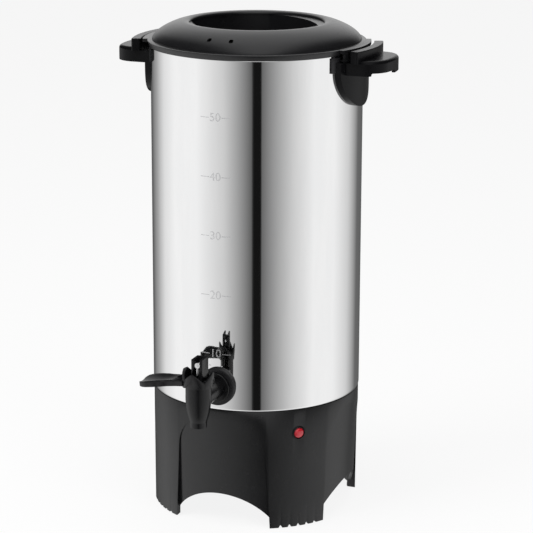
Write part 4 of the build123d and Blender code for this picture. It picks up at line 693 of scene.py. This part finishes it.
def arch_under_peak(azimuth):
    """Shallow arch that leaves the zigzag band standing proud of the crown's hub."""
    half = CROWN_DIAG - 1.0
    tool = block("peak_arch", (-half, -20.0, CROWN_LOW - 0.5), (half, 0.0, CROWN_PEAK - BAND_H), 0.05 / half)
    core = turned("peak_core", [(BAND_IN_R, CROWN_LOW - 2.0), (BAND_IN_R, CROWN_PEAK)], sides=96)
    return at_the_spout(carve(tool, core), azimuth)


def paddle_half_width(out):
    """Half the paddle's width that far from the spout's axis."""
    for (near, narrow), (far, wide) in zip(PADDLE_WIDTHS, PADDLE_WIDTHS[1:]):
        if out <= far:
            share = (out - near) / (far - near)
            return narrow + (wide - narrow) * share * share * (3 - 2 * share)
    return PADDLE_WIDTHS[-1][1]


def make_paddle():
    """Thumb paddle: a dished sheet with raised rims and a broad end, given its thickness downwards."""
    nothing_selected()
    bpy.ops.mesh.primitive_grid_add(x_subdivisions=28, y_subdivisions=16, size=1.0)
    paddle = bpy.context.object
    with editing(paddle):
        mesh = bmesh.from_edit_mesh(paddle.data)
        for v in mesh.verts:
            along, across = 0.5 - v.co.x, 2.0 * v.co.y
            out = PADDLE_NEAR + PADDLE_LONG * along
            corner = 2.6 * max(0.0, abs(across) - 0.55) ** 2 / 0.2 * along ** 6
            dish = 3.1 * (1.0 - across * across) * (0.45 + 0.55 * sin(pi * min(1.0, 1.25 * (1.0 - along) + 0.12)))
            rim = 1.1 * sin(pi * along) * across * across
            v.co = Vector((-(out - corner), across * paddle_half_width(out), PADDLE_T - dish + rim)) * MM
        bmesh.update_edit_mesh(paddle.data)
        bpy.ops.mesh.select_mode(type="FACE")
        bpy.ops.mesh.select_all(action="SELECT")
        bpy.ops.mesh.extrude_region_move(TRANSFORM_OT_translate={"value": (0, 0, -PADDLE_T * MM)})
        bpy.ops.transform.resize(value=(1, 1, 0), center_override=(0, 0, 0))
        bpy.ops.mesh.select_all(action="SELECT")
        bpy.ops.mesh.normals_make_consistent(inside=False)
    return placed(paddle, (0, TAP_Y, SPOUT_TOP + 2.6), (0, -PADDLE_DROOP, 0), "lever_paddle")


def press_relief():
    """Takes the yoke's left wall back from the swivel head's sleeve, ever deeper towards the deck, so the lever can
    rock."""
    top = PIN_Z - 1.2
    tool = block("press_relief", (-YOKE_IN - 0.02, YOKE_FRONT - 3, DECK_TOP),
                 (-YOKE_IN + 0.1, YOKE_BACK - YOKE_WEB, top))
    return shifted(tool, lambda at: at.x < -YOKE_IN and at.z < top - 1.0, ((DECK_TOP - top) * 0.33, 0, 0))


def make_lever():
    """Lever: paddle and haunch joined to a crown, the crown bored and notched, then a deck with the pin's yoke."""
    lever = turned("lever_moulding", [(CROWN_R, CROWN_LOW), (CROWN_R, CROWN_PEAK)], sides=128, at=(0, TAP_Y, 0))
    haunch = block("lever_haunch", *zip(HAUNCH_X, HAUNCH_Y, HAUNCH_Z))
    shifted(haunch, lambda at: at.x < -20 and at.z > SPOUT_TOP + 8, (0, 0, -HAUNCH_FALL))
    carve(lever, make_paddle(), haunch, operation="UNION")
    carve(lever, turned("crown_bore", [(CROWN_IN_R, CROWN_LOW - 1.0), (CROWN_IN_R, CROWN_PEAK + 1.0)], sides=96,
                        at=(0, TAP_Y, 0)))
    for azimuth, low in VALLEYS:
        carve(lever, valley_tool(azimuth, CROWN_VALLEY + low))
    for azimuth in (0, 90, 180):
        carve(lever, arch_under_peak(azimuth))
    deck = turned("lever_deck", [(CROWN_IN_R + 0.5, DECK_LOW), (CROWN_IN_R + 0.5, DECK_TOP)], sides=96,
                  at=(0, TAP_Y, 0))
    yoke = block("lever_yoke", (-YOKE_OUT, YOKE_FRONT, DECK_LOW + 0.1), (YOKE_OUT, YOKE_BACK, YOKE_TOP))
    carve(yoke, block("yoke_gap", (-YOKE_IN, YOKE_FRONT - 3, DECK_TOP),
                      (YOKE_IN, YOKE_BACK - YOKE_WEB, YOKE_TOP + 2)))
    carve(yoke, press_relief())
    carve(lever, deck, yoke, operation="UNION")
    slot = turned("stem_slot", [(STEM_SLOT_R, DECK_LOW - 1.0), (STEM_SLOT_R, DECK_TOP + 0.5)], sides=32)
    placed(drawn_apart(slot, STEM_SLOT_HALF), (STEM_SLOT_X, TAP_Y, 0))
    pin_hole = turned("pin_hole", [(PIN_HOLE_R, -4.0), (PIN_HOLE_R, 4.0)], sides=32, at=(0, YOKE_BACK, PIN_Z),
                      tilt=TO_FRONT)
    carve(lever, slot, pin_hole)
    cleaned(lever, 0.02)
    with_modifier(lever, "BEVEL", width=LEVER_SOFTEN * MM, segments=2, limit_method="ANGLE", angle_limit=radians(38))
    smooth(cleaned(lever, 0.01), 34.0)
    return finish_piece(lever, "lever", "lever_plastic", LEVER_BLACK, "tap_lever")


make_lever()


# ---------------------------------------------------------------- tap spring
SPRING_LOW = 127.85
SPRING_TOP = 140.95
SPRING_R = 3.2
SPRING_WIRE = 0.45
SPRING_TURNS = 4
SPRING_STEPS = 28 * SPRING_TURNS


def make_spring():
    """Coil drawn by a screw modifier; on the urn it shortens towards the bonnet as the stem lifts."""
    nothing_selected()
    bpy.ops.mesh.primitive_circle_add(vertices=10, radius=SPRING_WIRE * MM, fill_type="NOTHING")
    wire = placed(bpy.context.object, (SPRING_R, 0, 0), TO_FRONT, "coil_spring")
    tall = SPRING_TOP - SPRING_LOW
    with_modifier(wire, "SCREW", angle=2 * pi * SPRING_TURNS, screw_offset=(tall - 2 * SPRING_WIRE) * MM,
                  steps=SPRING_STEPS, render_steps=SPRING_STEPS, axis="Z", use_merge_vertices=False)
    with editing(wire):
        bpy.ops.mesh.select_all(action="SELECT")
        bpy.ops.mesh.fill_holes(sides=10)
        bpy.ops.mesh.select_all(action="SELECT")
        bpy.ops.mesh.normals_make_consistent(inside=False)
    coil = smooth(placed(wire, (0, TAP_Y, SPRING_LOW + SPRING_WIRE)), 60.0)
    finish_piece(coil, "urn", "plain_steel", PLATED, "tap_spring")
    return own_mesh(coil)


make_spring()


# ---------------------------------------------------------------- lid
RECESS_R = 61.5
RECESS_FLOOR = RIM_Z - 7.0
PAD_R = TANK_R
PAD_SHIFTS = ((45.0, 45.0), (225.0, 39.5))
PAD_Z = RIM_Z + 19.4
LID_WALL = 2.4
EAR_R = 102.0
LID_BAND_Z = RIM_Z + 5.5
LID_LOW = RIM_Z + 0.4
LUG_LOW = RIM_Z - 4.7
VENT_R = 1.3
VENT_HALF = 0.65
VENT_Z = RIM_Z + 15.2
VENT_TURNS = (-7.7, 6.0)
# welds each toe, 0.02 above the underside of its lug, and keeps the profile's steps of 0.03
LID_WELD = 0.025


def recess_reach(angle, grow=0.0):
    """How far the recess's wall is from the lid's axis: a circle flattened by two opposite thumb pads."""
    reach = RECESS_R + grow
    for pad, shift in PAD_SHIFTS:
        across = angle - radians(pad)
        reach = min(reach, -shift * cos(across) + sqrt((PAD_R + grow) ** 2 - (shift * sin(across)) ** 2))
    return reach


def soft_curve(points, steps):
    """More points along a drawn line, on a smooth curve through the given ones."""
    line = []
    for i in range(len(points) - 1):
        before, first = Vector(points[max(i - 1, 0)]), Vector(points[i])
        last, after = Vector(points[i + 1]), Vector(points[min(i + 2, len(points) - 1)])
        for k in range(steps):
            t = k / steps
            line.append(tuple(0.5 * (2 * first + (last - before) * t
                                     + (2 * before - 5 * first + 4 * last - after) * t * t
                                     + (3 * first - 3 * last + after - before) * t ** 3)))
    return line + [tuple(points[-1])]


def vent_tool(azimuth):
    """Slot of a steam vent: a lying peg, its halves drawn apart."""
    peg = turned("vent_tool", [(VENT_R, 70.0), (VENT_R, 96.0)], sides=24, tilt=TO_FRONT)
    return placed(drawn_apart(peg, VENT_HALF), (0, 0, VENT_Z), (0, 0, radians(azimuth)))


def make_lid():
    """Lid: one closed profile from the bowl's underside by the skirt, rim and dome down into the recess, with ears,
    lugs and toes for the twist lock and two steam slots."""
    band = [(96.4, LID_LOW), (96.9, LID_LOW + 1.2), (97.4, LID_LOW + 2.8), (97.85, LID_LOW + 4.1),
            (97.75, LID_LOW + 4.8), (97.3, LID_BAND_Z), (94.1, LID_BAND_Z), (93.65, LID_BAND_Z + 0.25)]
    dome = soft_curve([(93.6, 430.4), (93.0, 431.9), (91.0, 434.5), (87.9, 437.2), (83.8, 439.8), (79.0, 442.2),
                       (73.6, 444.3), (68.1, 445.8), (65.5, 446.2), (63.2, 446.1), (61.3, 445.6)], 3)
    edge = [(60.45, 445.0), (60.05, 444.4), (60.0, 443.9), (60.0, PAD_Z), (59.97, PAD_Z)]
    deep = [(59.97, 440.0), (59.97, 425.0), (59.97, RECESS_FLOOR + 1.2), (59.6, RECESS_FLOOR + 0.35),
            (58.8, RECESS_FLOOR)]
    under = soft_curve([(64.8, 443.7), (67.5, 443.3), (72.4, 441.9), (77.5, 439.9), (82.0, 437.7), (85.9, 435.2),
                        (88.8, 432.6)], 2)
    bowl_low, bowl_top = RECESS_FLOOR - LID_WALL, PAD_Z - LID_WALL
    bowl = [(59.6, bowl_low), (61.9, bowl_low + 0.2), (62.4, bowl_low + 0.8), (62.4, 430.0), (62.4, bowl_top),
            (62.43, bowl_top)]
    skirt = [(88.8, 414.3), (89.1, 414.0), (90.3, 414.0), (90.6, 414.3), (90.6, 429.0), (93.1, 429.0), (93.1, 425.95),
             (95.3, 425.95), (95.3, LID_LOW + 0.2), (95.5, LID_LOW)]
    lid = turned("lid_moulding", bowl + under + skirt + band + dome + edge + deep, sides=FINE)
    # the recess's wall and the bowl below it follow the thumb pads
    for v in lid.data.vertices:
        r, z = hypot(v.co.x, v.co.y) / MM, v.co.z / MM
        if r < 58.0:
            continue
        angle = atan2(v.co.y, v.co.x)
        if r < 59.985 and z < PAD_Z + 0.01 and z > RECESS_FLOOR - 0.1:
            share = (recess_reach(angle) - (60.0 - r)) / r
        elif r < 62.41 and z < bowl_top + 0.01:
            share = (recess_reach(angle, LID_WALL) - (62.4 - r)) / r
        else:
            continue
        v.co.x *= share
        v.co.y *= share
    for side in (0, 180):
        ear = swept("ear", 94.0, EAR_R, LID_BAND_Z - 3.0, LID_BAND_Z - 0.02, side - 22.0, side + 22.0)
        lug = swept("lug", EAR_R - 1.8, EAR_R - 0.02, LUG_LOW, LID_BAND_Z - 1.0, side - 21.0, side - 8.0, 8)
        toe = swept("toe", 96.6, EAR_R - 1.0, LUG_LOW + 0.02, LUG_LOW + 1.9, side - 20.98, side - 8.02, 8)
        carve(lid, ear, lug, toe, operation="UNION")
    carve(lid, *(vent_tool(turn) for turn in VENT_TURNS))
    smooth(cleaned(lid, LID_WELD), 34.0)
    return finish_piece(lid, "lid", "lid_plastic", LID_BLACK, "lid")


make_lid()


# ---------------------------------------------------------------- level marks on the tank
MARK_AZ = -1.1
MARK_HIGH = 7.8
MARKS = ((50, 374.2), (40, 322.0), (30, 269.5), (20, 215.9), (10, 162.5))
LOWEST_MARK_Z = 151.5
DASH_X = 10.0
DASH_LONG = 8.0
MARK_T = 0.12
MARK_LIFT = 0.07
TEXT_PER_HIGH = 1.37


def wrap_on_tank(piece, lift):
    """Lays a flat piece, drawn in X and Z, round the tank's wall."""
    for v in piece.data.vertices:
        angle = v.co.x / (TANK_R * MM) + radians(MARK_AZ)
        reach = TANK_R * MM + lift * MM + v.co.y
        v.co = Vector((reach * sin(angle), -reach * cos(angle), v.co.z))


def stripe(name, x, z, wide, high):
    """Flat bar, to be laid on the tank."""
    nothing_selected()
    bpy.ops.mesh.primitive_cube_add(size=1, location=(x * MM, 0, z * MM))
    bpy.context.object.scale = (wide * MM, MARK_T * MM, high * MM)
    return settle(name)


def make_marks():
    """Level numbers with a dash on each side, and a plain mark at the lowest level."""
    pieces = []
    for number, z in MARKS:
        nothing_selected()
        bpy.ops.object.text_add()
        text = bpy.context.object.data
        text.body = str(number)
        text.size = MARK_HIGH * MM * TEXT_PER_HIGH
        text.align_x = text.align_y = "CENTER"
        text.extrude = MARK_T / 2 * MM
        text.resolution_u = 4
        bpy.ops.object.convert(target="MESH")
        pieces.append(placed(bpy.context.object, (0, 0, z), TO_FRONT, f"mark_{number}"))
        for side in (-1, 1):
            pieces.append(stripe(f"mark_dash_{number}_{side + 1}", side * DASH_X, z, DASH_LONG, 0.75))
    pieces.append(stripe("mark_lowest", 0.0, LOWEST_MARK_Z, 13.0, 0.9))
    marks = joined(pieces)
    wrap_on_tank(marks, MARK_LIFT)
    marks.name = "level_marks"
    return finish_piece(marks, "urn", "tank_steel", MARK)


make_marks()


# ---------------------------------------------------------------- studio
CAMERA_SIDE = radians(21.2)
CAMERA_HEADING = CAMERA_SIDE - 0.0048
CAMERA_FALL = radians(14.624)
CAMERA_ROLL = radians(0.185)
CAMERA_LENS = 144.67
CAMERA_PLACE = (0.6871, -1.7715, 0.7152)
PLAIN_LIGHT = 0.42
FLOOR_GREY = (0.95, 0.95, 0.95, 1)
FLOOR_GLOW = 0.85
FLOOR_Z = -0.0004
# grey of the studio round the urn, from behind it over the camera's left, front and right and back
STUDIO_PANELS = [
    (0.0, 0.10), (0.055, 0.12), (0.115, 0.40), (0.165, 0.82), (0.22, 1.0), (0.31, 1.0), (0.40, 0.68), (0.4872, 0.11),
    (0.4885, 0.008), (0.5138, 0.008), (0.515, 0.15), (0.61, 0.68), (0.68, 0.97), (0.76, 0.98), (0.83, 0.70),
    (0.90, 0.15), (1.0, 0.10),
]


def view_axes():
    """Camera axes from its heading, fall and roll."""
    level = cos(CAMERA_FALL)
    ahead = Vector((-sin(CAMERA_HEADING) * level, cos(CAMERA_HEADING) * level, -sin(CAMERA_FALL)))
    right = ahead.cross(Vector((0, 0, 1))).normalized()
    up = right.cross(ahead)
    return (right * cos(CAMERA_ROLL) + up * sin(CAMERA_ROLL), up * cos(CAMERA_ROLL) - right * sin(CAMERA_ROLL), -ahead)


def make_camera():
    camera = bpy.data.objects.new("camera", bpy.data.cameras.new("camera"))
    bpy.context.scene.collection.objects.link(camera)
    camera.data.sensor_width = 36.0
    camera.data.lens = CAMERA_LENS
    camera.data.clip_start = 0.05
    camera.data.clip_end = 60.0
    turn = Matrix(view_axes()).transposed()
    camera.matrix_world = Matrix.Translation(CAMERA_PLACE) @ turn.to_4x4()
    bpy.context.scene.camera = camera


def make_room():
    """World light: even for the object, white to the eye, and a studio of white and grey panels in reflections."""
    world = bpy.data.worlds.new("studio")
    bpy.context.scene.world = world
    f = Finish("studio", world)
    way = f.node("ShaderNodeTexCoord")[0]
    x, y, z = f.parts(way)
    # turn about the urn in whole turns, 0.5 towards the camera and growing to the camera's right
    side = x * cos(CAMERA_SIDE) + y * sin(CAMERA_SIDE)
    front = x * sin(CAMERA_SIDE) - y * cos(CAMERA_SIDE)
    turn = f.node("ShaderNodeMath", {"operation": "ARCTAN2"}, {0: side, 1: front})[0] / (2.0 * pi) + 0.5
    panels = f.node("ShaderNodeValToRGB", {"stops": STUDIO_PANELS}, {0: turn})[0]
    # overhead, a long softbox that runs away from the camera; straight down, the bright floor
    aside = f.node("ShaderNodeMath", {"operation": "ABSOLUTE"}, {0: side - 0.03})[0]
    over = f.soft(aside, 0.12, 0.62, 1.0, 0.03)
    roof = f.node("ShaderNodeCombineColor", None, {0: over, 1: over, 2: over})[0]
    panels = f.blend(f.soft(z, -0.08, 0.03), panels, roof)
    panels = f.blend(f.soft(z, -0.72, -0.82), panels, (1.0, 1.0, 1.0, 1.0))
    seen = f.node("ShaderNodeLightPath")
    plain = f.node("ShaderNodeBackground", None, {"Color": (1, 1, 1, 1), "Strength": PLAIN_LIGHT})[0]
    white = f.node("ShaderNodeBackground", None, {"Color": (1, 1, 1, 1), "Strength": 1.0})[0]
    mirrored = f.node("ShaderNodeBackground", None, {"Color": panels, "Strength": 1.0})[0]
    glossy = f.node("ShaderNodeMixShader", None, {0: seen[3], 1: plain, 2: mirrored})[0]
    shown = f.node("ShaderNodeMixShader", None, {0: seen[0], 1: glossy, 2: white})[0]
    f.node("ShaderNodeOutputWorld", None, {0: shown})


def make_lamp(name, place, aim, size, power):
    """Softbox that aims at a point and isn't seen in reflections."""
    lamp = bpy.data.objects.new(name, bpy.data.lights.new(name, "AREA"))
    lamp.data.shape = "RECTANGLE"
    lamp.data.size, lamp.data.size_y = size
    lamp.data.energy = power
    bpy.context.scene.collection.objects.link(lamp)
    lamp.location = place
    lamp.rotation_euler = (Vector(aim) - Vector(place)).to_track_quat("-Z", "Y").to_euler()
    lamp.visible_glossy = False


def make_floor():
    """White floor that keeps the urn's shadow and is brighter to the eye than as a light."""
    nothing_selected()
    bpy.ops.mesh.primitive_plane_add(size=14.0, location=(0, 0, FLOOR_Z))
    floor = settle("studio_floor")
    f = Finish("floor_white")
    seen = f.node("ShaderNodeLightPath")
    matt = f.node("ShaderNodeBsdfDiffuse", None, {"Color": FLOOR_GREY})[0]
    glow = f.node("ShaderNodeEmission", None, {"Color": (1, 1, 1, 1), "Strength": 1.0})[0]
    both = f.node("ShaderNodeMixShader", None, {0: FLOOR_GLOW, 1: matt, 2: glow})[0]
    lit = f.node("ShaderNodeMixShader", None, {0: seen[0], 1: matt, 2: both})[0]
    f.node("ShaderNodeOutputMaterial", None, {0: lit})
    floor.data.materials.append(f.material)
    floor.visible_glossy = False


make_camera()
make_room()
make_floor()
make_lamp("key_softbox", (-1.3, -1.5, 1.9), (0, 0, 0.25), (1.2, 1.2), 26.0)
make_lamp("fill_softbox", (1.9, -1.2, 1.2), (0, 0, 0.2), (1.4, 1.4), 12.0)
make_lamp("top_softbox", (0.1, -0.4, 2.2), (0, 0, 0.4), (1.3, 1.3), 14.0)
